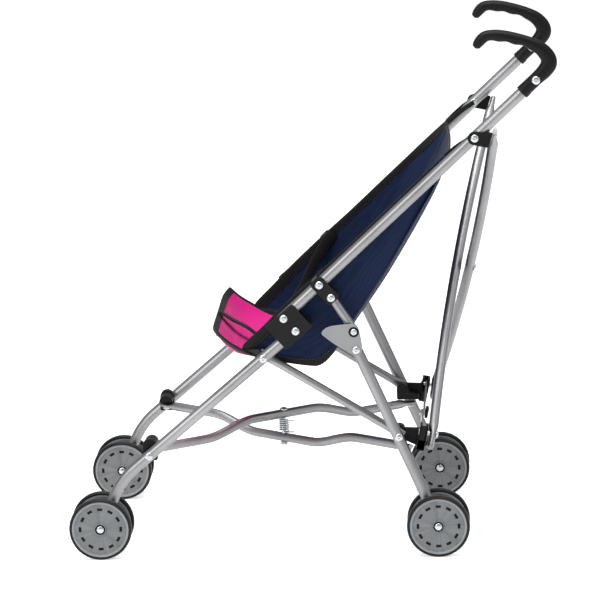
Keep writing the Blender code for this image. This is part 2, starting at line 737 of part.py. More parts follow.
def seat_fabric():
    """The sling as a bucket: cloth under the sitter and behind it, with a panel at each side."""
    outline = (*SEAT_UNDER, *SEAT_RIM)
    body = slab(outline, -SEAT_HALF, SEAT_HALF)
    inside = offset(SEAT_UNDER, CLOTH)
    inside[0] = (-0.1100, inside[0][1] + 0.018)
    inside[-1] = (0.1500, 0.4300)
    hollow = slab((*inside, (0.0, 0.45), (-0.12, 0.35)), CLOTH - SEAT_HALF, SEAT_HALF - CLOTH)
    cut(body, hollow)
    return finish_part(body, "seat_fabric", NAVY)


def seat_pad():
    """The coloured front section of the seat, lying on the sling."""
    under = offset(SEAT_UNDER, CLOTH + GAP)[1:5]
    over = offset(SEAT_UNDER, CLOTH + GAP + 0.0016)[1:5]
    half = SEAT_HALF - CLOTH - GAP
    return finish_part(slab((*under, *reversed(over)), -half, half), "seat_pad", PINK)


def lap_belt():
    """A strap from one side panel to the other across the lap."""
    half = SEAT_HALF - CLOTH - GAP
    steps = 16
    low, high = [], []
    for i in range(steps + 1):
        t = 2 * i / steps - 1
        ahead = 0.030 * (1 - t * t)
        drop = 0.036 * (1 - t ** 4)
        low.append((half * t, 0.0050 - ahead, 0.2620 - drop))
        high.append((half * t, 0.0090 - ahead, 0.2720 - drop))
    work = bmesh.new()
    rings = []
    for a, b in zip(low, high):
        a, b = Vector(a), Vector(b)
        thick = Vector((0, 0.0011, -0.0004))
        rings.append([work.verts.new(p) for p in (a, a + thick, b + thick, b)])
    for first, second in zip(rings, rings[1:]):
        for i in range(4):
            j = (i + 1) % 4
            work.faces.new((first[i], first[j], second[j], second[i]))
    work.faces.new(rings[0])
    work.faces.new(list(reversed(rings[-1])))
    bmesh.ops.recalc_face_normals(work, faces=work.faces)
    mesh = bpy.data.meshes.new("belt")
    work.to_mesh(mesh)
    work.free()
    belt = bpy.data.objects.new("belt", mesh)
    bpy.context.scene.collection.objects.link(belt)
    return finish_part(belt, "lap_belt", GREY)


# ---------------------------------------------------------------- assembly
def build_side(side, sign):
    for make in (
        front_leg, handle_tube, rear_leg, seat_brace, side_bracket, link_clip, lock_link, lock_plate,
        handle_grip, top_bracket, front_knuckle, rear_knuckle, pins, back_bracket, lock_bar, foot_rivet,
    ):
        make(side, sign)
    for place, centre in (("front", FRONT_AXLE), ("rear", REAR_AXLE)):
        wheel(f"{place}_wheel_{side}_outer", sign, centre, 1)
        wheel(f"{place}_wheel_{side}_inner", sign, centre, -1)
        axle(f"{place}_axle_{side}", sign, centre)
    back_tube(f"back_tube_{side}", sign)


def build():
    for side, sign in SIDES:
        build_side(side, sign)
    cross_tube("cross_tube_upper", 1, CROSS_BOW)
    cross_tube("cross_tube_lower", -1, -CROSS_BOW)
    pivot_bolt()
    torsion_spring()
    lock_pedal()
    seat_fabric()
    seat_pad()
    lap_belt()


clear_scene()
PARTS = new_collection("doll_stroller")
CUTTERS = new_collection("cutters")
build()
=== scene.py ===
"""Looks of the doll stroller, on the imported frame. Metres, +Z up, front towards -Y, left side at +X."""

import math

import bmesh
import bpy
from mathutils import Matrix, Vector
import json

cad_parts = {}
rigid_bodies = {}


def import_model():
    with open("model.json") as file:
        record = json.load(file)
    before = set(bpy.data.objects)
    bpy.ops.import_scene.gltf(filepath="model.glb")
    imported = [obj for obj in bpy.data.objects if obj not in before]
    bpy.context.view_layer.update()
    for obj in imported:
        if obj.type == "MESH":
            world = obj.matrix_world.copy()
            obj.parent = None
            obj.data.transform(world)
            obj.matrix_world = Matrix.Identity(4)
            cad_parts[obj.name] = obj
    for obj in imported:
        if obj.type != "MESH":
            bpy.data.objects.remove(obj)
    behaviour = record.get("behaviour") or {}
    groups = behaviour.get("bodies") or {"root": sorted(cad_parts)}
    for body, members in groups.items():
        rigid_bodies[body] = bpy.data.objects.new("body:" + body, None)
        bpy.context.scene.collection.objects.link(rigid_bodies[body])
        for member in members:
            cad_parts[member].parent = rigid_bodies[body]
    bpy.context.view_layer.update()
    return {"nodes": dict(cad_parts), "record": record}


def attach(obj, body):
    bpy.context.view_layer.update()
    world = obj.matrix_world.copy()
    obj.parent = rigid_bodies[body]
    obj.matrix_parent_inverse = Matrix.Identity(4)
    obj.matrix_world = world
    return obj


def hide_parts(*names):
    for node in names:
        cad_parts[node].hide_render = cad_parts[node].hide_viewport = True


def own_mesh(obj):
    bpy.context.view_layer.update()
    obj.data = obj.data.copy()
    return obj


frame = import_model()
SIDES = (("left", 1), ("right", -1))

SIDE_X = 0.113
LEG_DEG = 40.3
TUBE_DEG = 43.0
FRONT_AXLE = (-0.2142, 0.0315)
REAR_AXLE = (0.1240, 0.0315)
LEG_BEND = (-0.1925, 0.0790)
FRONT_PIN = (-0.1641, 0.1037)
BRACE_PIN = (-0.0475, 0.2026)
LEG_TOP = (-0.0146, 0.2305)
ELBOW = (-0.0262, 0.2433)
CLIP_PIN = (0.0097, 0.2768)
LINK_PIN = (0.0211, 0.2639)
LOCK_PIN = (0.0430, 0.2294)
PLATE_PIN = (0.0450, 0.2110)
REAR_PIN = (0.0858, 0.1208)
TOP_PIN = (0.1645, 0.4211)
BACK_LOW = (0.1168, 0.1075)
BACK_TOP = (0.1838, 0.4217)
CROSS_Y = -0.035
CROSS_Z = 0.1045
TUBE_R = 0.0056             # front legs, handle tubes and rear legs
BRACE_R = 0.0042
BRACE_X = 0.1010
LINK_R = 0.0046
BACK_R = 0.0050
SHANK_R = 0.0021            # pins through the joints
CHEEK = 0.0075              # from a tube's middle to the outer face of its sheet bracket
SHEET = 0.0016              # thickness of the sheet brackets
PIN_FACE = 0.1186           # x of the heads of the pins in the legs
GUARD_FACES = (0.1189, 0.1215)


# ---- node helpers
class Shader:
    """A material's node tree, with short ways to add and join nodes."""

    def __init__(self, name, base=(0.5, 0.5, 0.5), rough=0.5, metal=0.0, **sockets):
        self.material = bpy.data.materials.new(name)
        self.material.use_nodes = True
        self.tree = self.material.node_tree
        self.bsdf = self.tree.nodes["Principled BSDF"]
        self.bsdf.inputs["Base Color"].default_value = (*base, 1)
        self.bsdf.inputs["Roughness"].default_value = rough
        self.bsdf.inputs["Metallic"].default_value = metal
        for key, value in sockets.items():
            self.bsdf.inputs[key.replace("_", " ")].default_value = value
        self.place = self.node("ShaderNodeTexCoord").outputs["Object"]

    def node(self, kind, **settings):
        made = self.tree.nodes.new(kind)
        for key, value in settings.items():
            if key in made.inputs:
                made.inputs[key].default_value = value
            else:
                setattr(made, key, value)
        return made

    def join(self, out, into):
        self.tree.links.new(out, into)

    def noise(self, scale, detail):
        made = self.node("ShaderNodeTexNoise", Scale=scale, Detail=detail)
        self.join(self.place, made.inputs["Vector"])
        return made.outputs["Fac"]

    def ramp(self, value, low, high, start=0.0, end=1.0):
        """Map a value from start..end to low..high."""
        made = self.node("ShaderNodeMapRange")
        for key, number in (("From Min", start), ("From Max", end), ("To Min", low), ("To Max", high)):
            made.inputs[key].default_value = number
        self.join(value, made.inputs["Value"])
        return made.outputs["Result"]

    def mix(self, factor, low, high):
        made = self.node("ShaderNodeMix", data_type="RGBA")
        self.join(factor, made.inputs["Factor"])
        self.feed(low, made.inputs["A"])
        self.feed(high, made.inputs["B"])
        return made.outputs["Result"]

    def feed(self, value, socket):
        if isinstance(value, tuple):
            socket.default_value = (*value, 1)
        elif isinstance(value, (int, float)):
            socket.default_value = value
        else:
            self.join(value, socket)

    def math(self, operation, a, b):
        made = self.node("ShaderNodeMath", operation=operation)
        self.feed(a, made.inputs[0])
        self.feed(b, made.inputs[1])
        return made.outputs[0]

    def times(self, value, factor):
        return self.math("MULTIPLY", value, factor)

    def blend(self, first, share, second):
        """A share of one value and the rest of another."""
        return self.math("ADD", self.times(first, share), self.times(second, 1 - share))

    def colour(self, value):
        self.join(value, self.bsdf.inputs["Base Color"])

    def rough(self, value):
        self.join(value, self.bsdf.inputs["Roughness"])

    def bump(self, height, distance, strength=1.0):
        made = self.node("ShaderNodeBump", Distance=distance, Strength=strength)
        self.join(height, made.inputs["Height"])
        self.join(made.outputs["Normal"], self.bsdf.inputs["Normal"])

    def edges(self, radius=0.0008):
        """How far the surface turns within a short distance: 1 on edges, 0 on flats."""
        bevel = self.node("ShaderNodeBevel", samples=4)
        bevel.inputs["Radius"].default_value = radius
        dot = self.node("ShaderNodeVectorMath", operation="DOT_PRODUCT")
        geometry = self.node("ShaderNodeNewGeometry")
        self.join(bevel.outputs["Normal"], dot.inputs[0])
        self.join(geometry.outputs["Normal"], dot.inputs[1])
        return self.ramp(dot.outputs["Value"], 1.0, 0.0, 0.80, 1.0)


# ---- materials
def silver_tube():
    s = Shader("silver_tube", rough=0.3, metal=1.0)
    drift = s.noise(14, 3)
    fine = s.noise(900, 2)
    s.colour(s.mix(s.ramp(drift, 0, 1, 0.3, 0.7), (0.215, 0.215, 0.22), (0.29, 0.29, 0.295)))
    s.rough(s.ramp(s.blend(drift, 0.7, fine), 0.34, 0.48))
    s.bump(fine, 0.00002, 0.35)
    return s.material


def zinc():
    s = Shader("zinc", rough=0.2, metal=1.0)
    drift = s.noise(300, 4)
    s.colour(s.mix(drift, (0.34, 0.36, 0.37), (0.52, 0.54, 0.55)))
    s.rough(s.ramp(drift, 0.20, 0.36))
    s.bump(s.noise(1500, 2), 0.00002, 0.3)
    return s.material


def plastic(name, dark, light, rough=(0.35, 0.55), grain=0.00004):
    s = Shader(name, Specular_IOR_Level=0.14)
    grains = s.noise(2600, 2)
    drift = s.noise(35, 4)
    # edges lifted towards a lighter colour: a painted edge highlight
    edge_highlight = s.times(s.edges(), 0.30)
    body = s.mix(drift, dark, light)
    s.colour(s.mix(edge_highlight, body, tuple(min(1.0, c * 2.0 + 0.015) for c in light)))
    s.rough(s.ramp(s.blend(drift, 0.6, grains), *rough))
    s.bump(grains, grain, 0.6)
    return s.material


def black_steel():
    s = Shader("black_steel", Specular_IOR_Level=0.16)
    drift = s.noise(60, 4)
    orange_peel = s.noise(1100, 2)
    # edges lifted towards grey: a painted edge highlight along the folded sheet
    edge_highlight = s.times(s.edges(0.0006), 0.45)
    body = s.mix(drift, (0.0020, 0.0018, 0.0018), (0.0060, 0.0055, 0.0050))
    s.colour(s.mix(edge_highlight, body, (0.09, 0.09, 0.09)))
    s.rough(s.ramp(drift, 0.28, 0.42))
    s.bump(orange_peel, 0.00003, 0.4)
    return s.material


def woven(name, dark, light, sheen):
    """Plain weave: two sets of threads that take turns on top."""
    thread, rough = 0.00075, 0.8
    s = Shader(name, rough=rough, Sheen_Weight=sheen, Sheen_Roughness=0.45, Specular_IOR_Level=0.12)
    waves = []
    for axis in ("X", "Z"):
        wave = s.node("ShaderNodeTexWave", bands_direction=axis, wave_profile="SIN", Distortion=0.6)
        wave.inputs["Scale"].default_value = 1.0 / thread / 20 * math.pi
        wave.inputs["Detail Scale"].default_value = 2.0
        turned = s.node("ShaderNodeMapping")
        turned.inputs["Rotation"].default_value = (math.radians(47), 0, 0)
        s.join(s.place, turned.inputs["Vector"])
        s.join(turned.outputs["Vector"], wave.inputs["Vector"])
        waves.append(wave.outputs["Fac"])
    weave = s.math("MAXIMUM", waves[0], waves[1])
    fibre = s.noise(1800, 2)
    drift = s.noise(28, 4)
    tone = s.math("ADD", s.times(weave, 0.45), s.times(drift, 0.35))
    s.colour(s.mix(s.math("ADD", tone, s.times(fibre, 0.2)), dark, light))
    s.rough(s.ramp(fibre, rough - 0.12, rough + 0.1))
    s.bump(s.math("ADD", weave, s.times(fibre, 0.5)), 0.00012, 0.8)
    return s.material


def webbing():
    """Narrow ribbed tape."""
    s = Shader("webbing", rough=0.65, Sheen_Weight=0.05, Specular_IOR_Level=0.15)
    rib = s.node("ShaderNodeTexWave", bands_direction="DIAGONAL", Scale=260.0, Distortion=0.8)
    s.join(s.place, rib.inputs["Vector"])
    fibre = s.noise(2200, 2)
    tone = s.blend(rib.outputs["Fac"], 0.6, fibre)
    s.colour(s.mix(tone, (0.0015, 0.0015, 0.0017), (0.0080, 0.0070, 0.0078)))
    s.rough(s.ramp(fibre, 0.5, 0.75))
    s.bump(s.math("ADD", rib.outputs["Fac"], fibre), 0.0001, 0.7)
    return s.material


def wheel_disc():
    """Moulded grey disc with faint flow marks that run out from the hub."""
    s = Shader("wheel_disc", Specular_IOR_Level=0.4)
    parts = s.node("ShaderNodeSeparateXYZ")
    s.join(s.place, parts.inputs[0])
    angle = s.math("ARCTAN2", parts.outputs["Y"], parts.outputs["Z"])
    spokes = s.node("ShaderNodeTexNoise", Scale=2.4, Detail=3.0, noise_dimensions="1D")
    s.join(angle, spokes.inputs["W"])
    grains = s.noise(1500, 3)
    tone = s.blend(spokes.outputs["Fac"], 0.6, grains)
    # edges lifted towards pale grey: a painted edge highlight
    edge_highlight = s.times(s.edges(0.0005), 0.35)
    body = s.mix(s.ramp(tone, 0, 1, 0.3, 0.7), (0.075, 0.080, 0.083), (0.155, 0.162, 0.166))
    s.colour(s.mix(edge_highlight, body, (0.30, 0.31, 0.31)))
    s.rough(s.ramp(tone, 0.36, 0.55))
    s.bump(grains, 0.00005, 0.5)
    return s.material


MATERIALS = {
    "silver_tube": silver_tube(),
    "zinc": zinc(),
    "black_steel": black_steel(),
    "black_plastic": plastic("black_plastic", (0.0020, 0.0018, 0.0018), (0.0055, 0.0048, 0.0046)),
    "grey_plastic": plastic("grey_plastic", (0.17, 0.175, 0.18), (0.23, 0.235, 0.24), (0.40, 0.55)),
    "wheel_plastic": wheel_disc(),
    "rim_plastic": plastic("rim_plastic", (0.15, 0.16, 0.165), (0.22, 0.23, 0.235), (0.35, 0.5)),
    "tread": plastic("tread", (0.030, 0.028, 0.027), (0.060, 0.055, 0.052), (0.45, 0.65), 0.00008),
    "tyre_edge": plastic("tyre_edge", (0.004, 0.004, 0.004), (0.012, 0.011, 0.011), (0.35, 0.55)),
    "navy_cloth": woven("navy_cloth", (0.0009, 0.0026, 0.0122), (0.0060, 0.0150, 0.0490), sheen=0.04),
    "pink_cloth": woven("pink_cloth", (0.31, 0.003, 0.095), (0.60, 0.013, 0.205), sheen=0.1),
    "webbing": webbing(),
    "thread": plastic("thread", (0.012, 0.012, 0.016), (0.04, 0.04, 0.05), (0.6, 0.8)),
}


def paint(obj, *names):
    """Give a piece its materials, keeping each face's material number."""
    numbers = [face.material_index for face in obj.data.polygons]
    obj.data.materials.clear()
    for name in names:
        obj.data.materials.append(MATERIALS[name])
    obj.data.polygons.foreach_set("material_index", numbers)
    return obj


def paint_frame():
    """Give each carried-over CAD solid the material of its slot."""
    slots = {s["node"]: s["material_slot"] for s in frame["record"]["subparts"]}
    for name, obj in frame["nodes"].items():
        obj.data.materials.clear()
        obj.data.materials.append(MATERIALS[slots[name]])
        for face in obj.data.polygons:
            face.material_index = 0


# ---- shape helpers
def at(x, point):
    return Vector((x, point[0], point[1]))


def along(point, degrees, distance, aside=0.0):
    """A side-view point moved along a slope, and aside to the slope's upper side."""
    c, s = math.cos(math.radians(degrees)), math.sin(math.radians(degrees))
    return (point[0] + c * distance - s * aside, point[1] + s * distance + c * aside)


def slope_of(start, end):
    return math.degrees(math.atan2(end[1] - start[1], end[0] - start[0]))


def arc(centre, radius, degrees):
    """Points on a circle round a 2-D point, at the angles given."""
    turns = [math.radians(d) for d in degrees]
    return [(centre[0] + radius * math.cos(a), centre[1] + radius * math.sin(a)) for a in turns]


def box_along(start, degrees, low, high, bottom, top):
    """The four corners of a box laid along a slope."""
    corners = ((low, bottom), (high, bottom), (high, top), (low, top))
    return [along(start, degrees, reach, aside) for reach, aside in corners]


def distances(path):
    """How far along a path each of its points lies."""
    total = [0.0]
    for a, b in zip(path, path[1:]):
        total.append(total[-1] + (b - a).length)
    return total


def eased(t):
    """0 to 1 with a soft start and end, held at 0 or 1 outside."""
    t = min(1.0, max(0.0, t))
    return t * t * (3 - 2 * t)


def link(data, name):
    obj = bpy.data.objects.new(name, data)
    bpy.context.scene.collection.objects.link(obj)
    return obj


def skin(work, rings):
    """Faces between rings of the same size, and a cap on each end."""
    for one, two in zip(rings, rings[1:]):
        for k in range(len(one)):
            m = (k + 1) % len(one)
            work.faces.new((one[k], one[m], two[m], two[k]))
    work.faces.new(rings[0])
    work.faces.new(list(reversed(rings[-1])))


def from_bmesh(work, name, smooth=True, angle=None):
    bmesh.ops.recalc_face_normals(work, faces=work.faces)
    mesh = bpy.data.meshes.new(name)
    work.to_mesh(mesh)
    work.free()
    obj = link(mesh, name)
    if smooth:
        shade(obj, angle)
    return obj


def shade(obj, degrees=None):
    """Smooth shading, with edges sharper than an angle kept sharp."""
    mesh = obj.data
    for face in mesh.polygons:
        face.use_smooth = True
    if degrees is not None:
        mesh.set_sharp_from_angle(angle=math.radians(degrees))


def smooth_path(points, per=8):
    """A Catmull-Rom line through the points."""
    points = [Vector(p) for p in points]
    path = []
    for i in range(len(points) - 1):
        a = points[max(i - 1, 0)]
        b, c = points[i], points[i + 1]
        d = points[min(i + 2, len(points) - 1)]
        square, cube = 2 * a - 5 * b + 4 * c - d, 3 * b - a - 3 * c + d
        for k in range(per):
            t = k / per
            path.append(0.5 * (2 * b + (c - a) * t + square * t * t + cube * t ** 3))
    path.append(points[-1])
    return path


def rounded(points, radius, steps=10):
    """Straight runs with each inner corner eased by a quadratic arc."""
    points = [Vector(p) for p in points]
    path = [points[0]]
    for before, corner, after in zip(points, points[1:], points[2:]):
        start = corner + (before - corner).normalized() * radius
        end = corner + (after - corner).normalized() * radius
        for i in range(steps + 1):
            t = i / steps
            path.append(start * (1 - t) ** 2 + corner * 2 * t * (1 - t) + end * t * t)
    path.append(points[-1])
    return path


def sweep(path, section, name, up=(1, 0, 0)):
    """Sweep a closed cross-section, given by section(i, t) as (side, up) pairs, along a path."""
    path = [Vector(p) for p in path]
    work = bmesh.new()
    rings = []
    count = len(path)
    for i, point in enumerate(path):
        ahead = (path[min(i + 1, count - 1)] - path[max(i - 1, 0)]).normalized()
        first = (Vector(up) - ahead * ahead.dot(Vector(up))).normalized()
        second = ahead.cross(first)
        ring = [work.verts.new(point + first * a + second * b) for a, b in section(i, i / (count - 1))]
        rings.append(ring)
    skin(work, rings)
    return from_bmesh(work, name, angle=50)


def circle(radius, sides=28, flat=1.0, wide=1.0):
    turns = [2 * math.pi * k / sides for k in range(sides)]
    return [(radius * wide * math.cos(a), radius * flat * math.sin(a)) for a in turns]


def bar(name, path, radius, body, node=None, flat_start=None, flat_end=None, material="silver_tube",
        up=(1, 0, 0)):
    """A round tube. flat_start and flat_end are (reach, share of thickness) where it is pressed flat."""
    fine = densify([Vector(p) for p in path], 0.004)
    length = distances(fine)

    def section(i, _t):
        flat, wide = 1.0, 1.0
        for press, distance in ((flat_start, length[i]), (flat_end, length[-1] - length[i])):
            if press:
                reach, thin = press
                k = eased((distance - reach * 0.6) / (reach * 0.6))
                flat = min(flat, thin + (1 - thin) * k)
                wide = max(wide, 1 + (1 - k) * 0.22)
        end = 0.93 if i in (0, len(fine) - 1) else 1.0
        return circle(radius * end, flat=wide, wide=flat)

    obj = sweep(fine, section, name, up=up)
    paint(obj, material)
    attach(obj, body)
    if node:
        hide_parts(node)


def densify(path, step):
    fine = []
    for a, b in zip(path, path[1:]):
        count = max(1, round((b - a).length / step))
        fine += [a.lerp(b, k / count) for k in range(count)]
    fine.append(path[-1])
    return fine


def spun(name, profile, steps=32, materials=("zinc",), pick=None):
    """Spin an (x, radius) profile about the X axis. pick(i) gives each band's material number."""
    work = bmesh.new()
    rings = []
    for x, radius in profile:
        if radius < 1e-7:
            rings.append([work.verts.new((x, 0, 0))])
            continue
        turns = [2 * math.pi * k / steps for k in range(steps)]
        rings.append([work.verts.new((x, radius * math.cos(a), radius * math.sin(a))) for a in turns])
    for i, (one, two) in enumerate(zip(rings, rings[1:])):
        for k in range(steps):
            m = (k + 1) % steps
            corners = [one[k % len(one)], one[m % len(one)], two[m % len(two)], two[k % len(two)]]
            face = work.faces.new(list(dict.fromkeys(corners)))
            face.material_index = pick(i) if pick else 0
    obj = from_bmesh(work, name, angle=35)
    return paint(obj, *materials)


RIVET = None


def rivet(name, place, outward, body, radius=0.0042, height=0.0022):
    """A bright domed rivet head with a small dimple."""
    global RIVET
    if RIVET is None:
        turns = arc((0, 0), 1, range(0, 89, 8))
        dome = [(0.82, 0.0), (0.84, 0.16), (0.93, 0.30)]
        dome += [(s, c) for c, s in turns if s < 0.92][::-1]
        RIVET = spun(name, [*dome, (-0.25, 0.96), (-0.25, 0.0)], 28).data
        bpy.data.objects.remove(bpy.data.objects[name])
    obj = link(RIVET, name)
    direction = Vector(outward).normalized()
    turn = direction.to_track_quat("X", "Z").to_matrix().to_4x4()
    obj.matrix_world = Matrix.Translation(place) @ turn @ Matrix.Diagonal((height, radius, radius, 1))
    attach(obj, body)
    return obj


def soften(outline, corner):
    """A 2-D outline with each corner rounded off."""
    soft = []
    count = len(outline)
    for i, point in enumerate(outline):
        here = Vector(point)
        before, after = Vector(outline[i - 1]) - here, Vector(outline[(i + 1) % count]) - here
        cut = min(corner, before.length * 0.45, after.length * 0.45)
        start, end = here + before.normalized() * cut, here + after.normalized() * cut
        for k in range(5):
            t = k / 4
            soft.append(start * (1 - t) ** 2 + here * 2 * t * (1 - t) + end * t * t)
    return soft


def prism(name, low_ring, high_ring, body, material, node=None, edge=0.0006):
    """A solid between two matching rings of points, with eased edges."""
    work = bmesh.new()
    rings = [[work.verts.new(p) for p in ring] for ring in (low_ring, high_ring)]
    work.faces.new(rings[0])
    work.faces.new(list(reversed(rings[1])))
    for i in range(len(rings[0])):
        j = (i + 1) % len(rings[0])
        work.faces.new((rings[0][i], rings[1][i], rings[1][j], rings[0][j]))
    obj = from_bmesh(work, name, smooth=False)
    bevel = obj.modifiers.new("edge", "BEVEL")
    bevel.width = edge
    bevel.segments = 2
    bevel.limit_method = "ANGLE"
    bevel.harden_normals = True
    shade(obj, 40)
    fitted(obj, body, material, node)


def fitted(obj, body, material, node=None):
    """Paint a piece, let it ride on its body, and stand in for its CAD node."""
    paint(obj, material)
    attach(obj, body)
    if node:
        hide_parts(node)


def plate(name, outline, low, high, body, node=None, corner=0.003, edge=0.0006, material="black_plastic"):
    """A (y, z) outline with rounded corners, as a plate between two x values."""
    low, high = sorted((low, high))
    soft = soften(outline, corner)
    rings = [[(x, p[0], p[1]) for p in soft] for x in (low, high)]
    prism(name, *rings, body, material, node, edge)


# ---- side frames
def side_frame(side, sign):
    """The tubes of one side, and the rivet heads on their two faces."""
    x = sign * SIDE_X
    leg, handle, rear = f"front_leg_{side}", f"handle_{side}", f"rear_leg_{side}"
    top = along(LEG_TOP, LEG_DEG, 0.0085)
    route = rounded([at(x, FRONT_AXLE), at(x, LEG_BEND), at(x, top)], 0.018)
    bar(f"tube_front_leg_{side}", route, TUBE_R, leg, f"front_leg_{side}", flat_start=(0.010, 0.7))
    route = [at(x, along(ELBOW, TUBE_DEG, -0.007)), at(x, along(ELBOW, TUBE_DEG, 0.3255))]
    bar(f"tube_handle_{side}", route, TUBE_R, handle, f"handle_tube_{side}")
    slope = slope_of(REAR_AXLE, PLATE_PIN)
    route = [at(x, REAR_AXLE), at(x, along(PLATE_PIN, slope, 0.0045))]
    bar(f"tube_rear_leg_{side}", route, TUBE_R, rear, f"rear_leg_{side}", flat_start=(0.010, 0.7))
    slope = slope_of(BRACE_PIN, REAR_PIN)
    ends = (along(BRACE_PIN, slope, -0.005), along(REAR_PIN, slope, 0.005))
    route = [at(sign * BRACE_X, end) for end in ends]
    press = (0.014, 0.5)
    bar(f"tube_brace_{side}", route, BRACE_R, f"seat_brace_{side}", f"seat_brace_{side}", press, press)
    slope = slope_of(LINK_PIN, LOCK_PIN)
    route = [at(x, along(LINK_PIN, slope, -0.0046)), at(x, along(LOCK_PIN, slope, 0.003))]
    bar(f"tube_link_{side}", route, LINK_R, f"lock_link_{side}", f"lock_link_{side}")
    face = SIDE_X + CHEEK
    out = (sign, 0, 0)
    for name, point, reach, body in (
        ("bracket", LEG_TOP, face, leg), ("clip", CLIP_PIN, face, handle),
        ("plate", PLATE_PIN, GUARD_FACES[1], rear), ("brace", BRACE_PIN, PIN_FACE, leg),
        ("elbow", ELBOW, face, leg), ("link", LINK_PIN, face, handle),
        ("front_pivot", FRONT_PIN, PIN_FACE, f"front_knuckle_{side}"),
        ("rear_pivot", REAR_PIN, PIN_FACE, f"rear_knuckle_{side}"),
    ):
        rivet(f"rivet_{name}_{side}", at(sign * reach, point), out, body)
    for name, point, body in (
        ("bracket", LEG_TOP, leg), ("clip", CLIP_PIN, handle),
        ("elbow", ELBOW, leg), ("link", LINK_PIN, handle),
    ):
        rivet(f"tail_{name}_{side}", at(sign * (SIDE_X - CHEEK), point), (-sign, 0, 0), body, 0.0032, 0.0012)
    lock_guard(side, sign, rear)


def lock_guard(side, sign, rear):
    """The grey guard on the rear leg, with the rivet of the lock link on it and a black ring round that
    rivet, painted shade for its recess.
    """
    outline = (
        (0.0097, 0.2283), (0.0158, 0.2343), (0.0247, 0.2362), (0.0405, 0.2375), (0.0465, 0.2365),
        (0.0492, 0.2278), (0.0515, 0.2136), (0.0495, 0.2058), (0.0434, 0.2049), (0.0224, 0.2180),
    )
    low, high = (sign * x for x in GUARD_FACES)
    plate(f"guard_{side}", outline, low, high, rear, f"lock_plate_{side}", 0.005, material="grey_plastic")
    # a black ring round the lock rivet that stands in for the shade in its recess: painted shade
    profile = [(0, 0.0030), (0.0006, 0.0034), (0.0006, 0.0048), (0, 0.0052)]
    shade_ring = spun(f"washer_lock_{side}", profile, 32, ("black_plastic",))
    shade_ring.matrix_world = Matrix.Translation(at(high, LOCK_PIN)) @ Matrix.Diagonal((sign, 1, 1, 1))
    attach(shade_ring, rear)
    rivet(f"rivet_lock_{side}", at(high, LOCK_PIN), (sign, 0, 0), rear, 0.0034, 0.0018)


def sheet_bracket(name, start, degrees, length, top, bottom, web, side, sign, body, node, corner):
    """Folded sheet: two cheeks and the web that joins them."""
    outline = box_along(start, degrees, 0, length, bottom, top)
    cheeks = (("outer", SIDE_X + CHEEK - SHEET, node), ("inner", SIDE_X - CHEEK, None))
    for place, inner, stands_for in cheeks:
        plate(f"{name}_{place}_{side}", outline, sign * inner, sign * (inner + SHEET), body, stands_for,
              corner, 0.0005, "black_steel")
    low, high = (top - SHEET, top) if web > 0 else (bottom, bottom + SHEET)
    inset = corner * 0.9
    outline = box_along(start, degrees, inset, length - inset, low, high)
    wide = CHEEK - 0.0003
    plate(f"{name}_web_{side}", outline, sign * (SIDE_X - wide), sign * (SIDE_X + wide), body, None,
          0.0003, 0.0001, "black_steel")


def brackets(side, sign):
    """The sheet brackets at the top of the front leg and at the foot of the handle tube."""
    slope = 41.0
    start = along(LEG_TOP, slope, -0.0195)
    sheet_bracket("bracket", start, slope, 0.0355, 0.0232, -0.0075, -1, side, sign,
                  f"front_leg_{side}", f"side_bracket_{side}", 0.0025)
    start = along(CLIP_PIN, TUBE_DEG, -0.0072)
    sheet_bracket("clip", start, TUBE_DEG, 0.0144, 0.0075, -0.0225, 1, side, sign,
                  f"handle_{side}", f"link_clip_{side}", 0.0045)


GROOVES = (0.012, 0.062)    # where the finger grooves start and end, along the grip
GRIP = (
    # y, z of the middle, half the depth, half the width
    (0.1662, 0.5086, 0.0034, 0.0042), (0.1694, 0.5140, 0.0050, 0.0054), (0.1752, 0.5195, 0.0055, 0.0058),
    (0.1840, 0.5208, 0.0057, 0.0060), (0.1935, 0.5200, 0.0058, 0.0060), (0.2029, 0.5180, 0.0058, 0.0060),
    (0.2120, 0.5156, 0.0057, 0.0060), (0.2210, 0.5122, 0.0060, 0.0062), (0.2300, 0.5070, 0.0068, 0.0064),
    (0.2364, 0.4992, 0.0076, 0.0066), (0.2372, 0.4920, 0.0080, 0.0066), (0.2328, 0.4852, 0.0074, 0.0066),
    (0.2270, 0.4797, 0.0067, 0.0066), (0.2200, 0.4732, 0.0066, 0.0066), (0.2136, 0.4672, 0.0066, 0.0066),
)


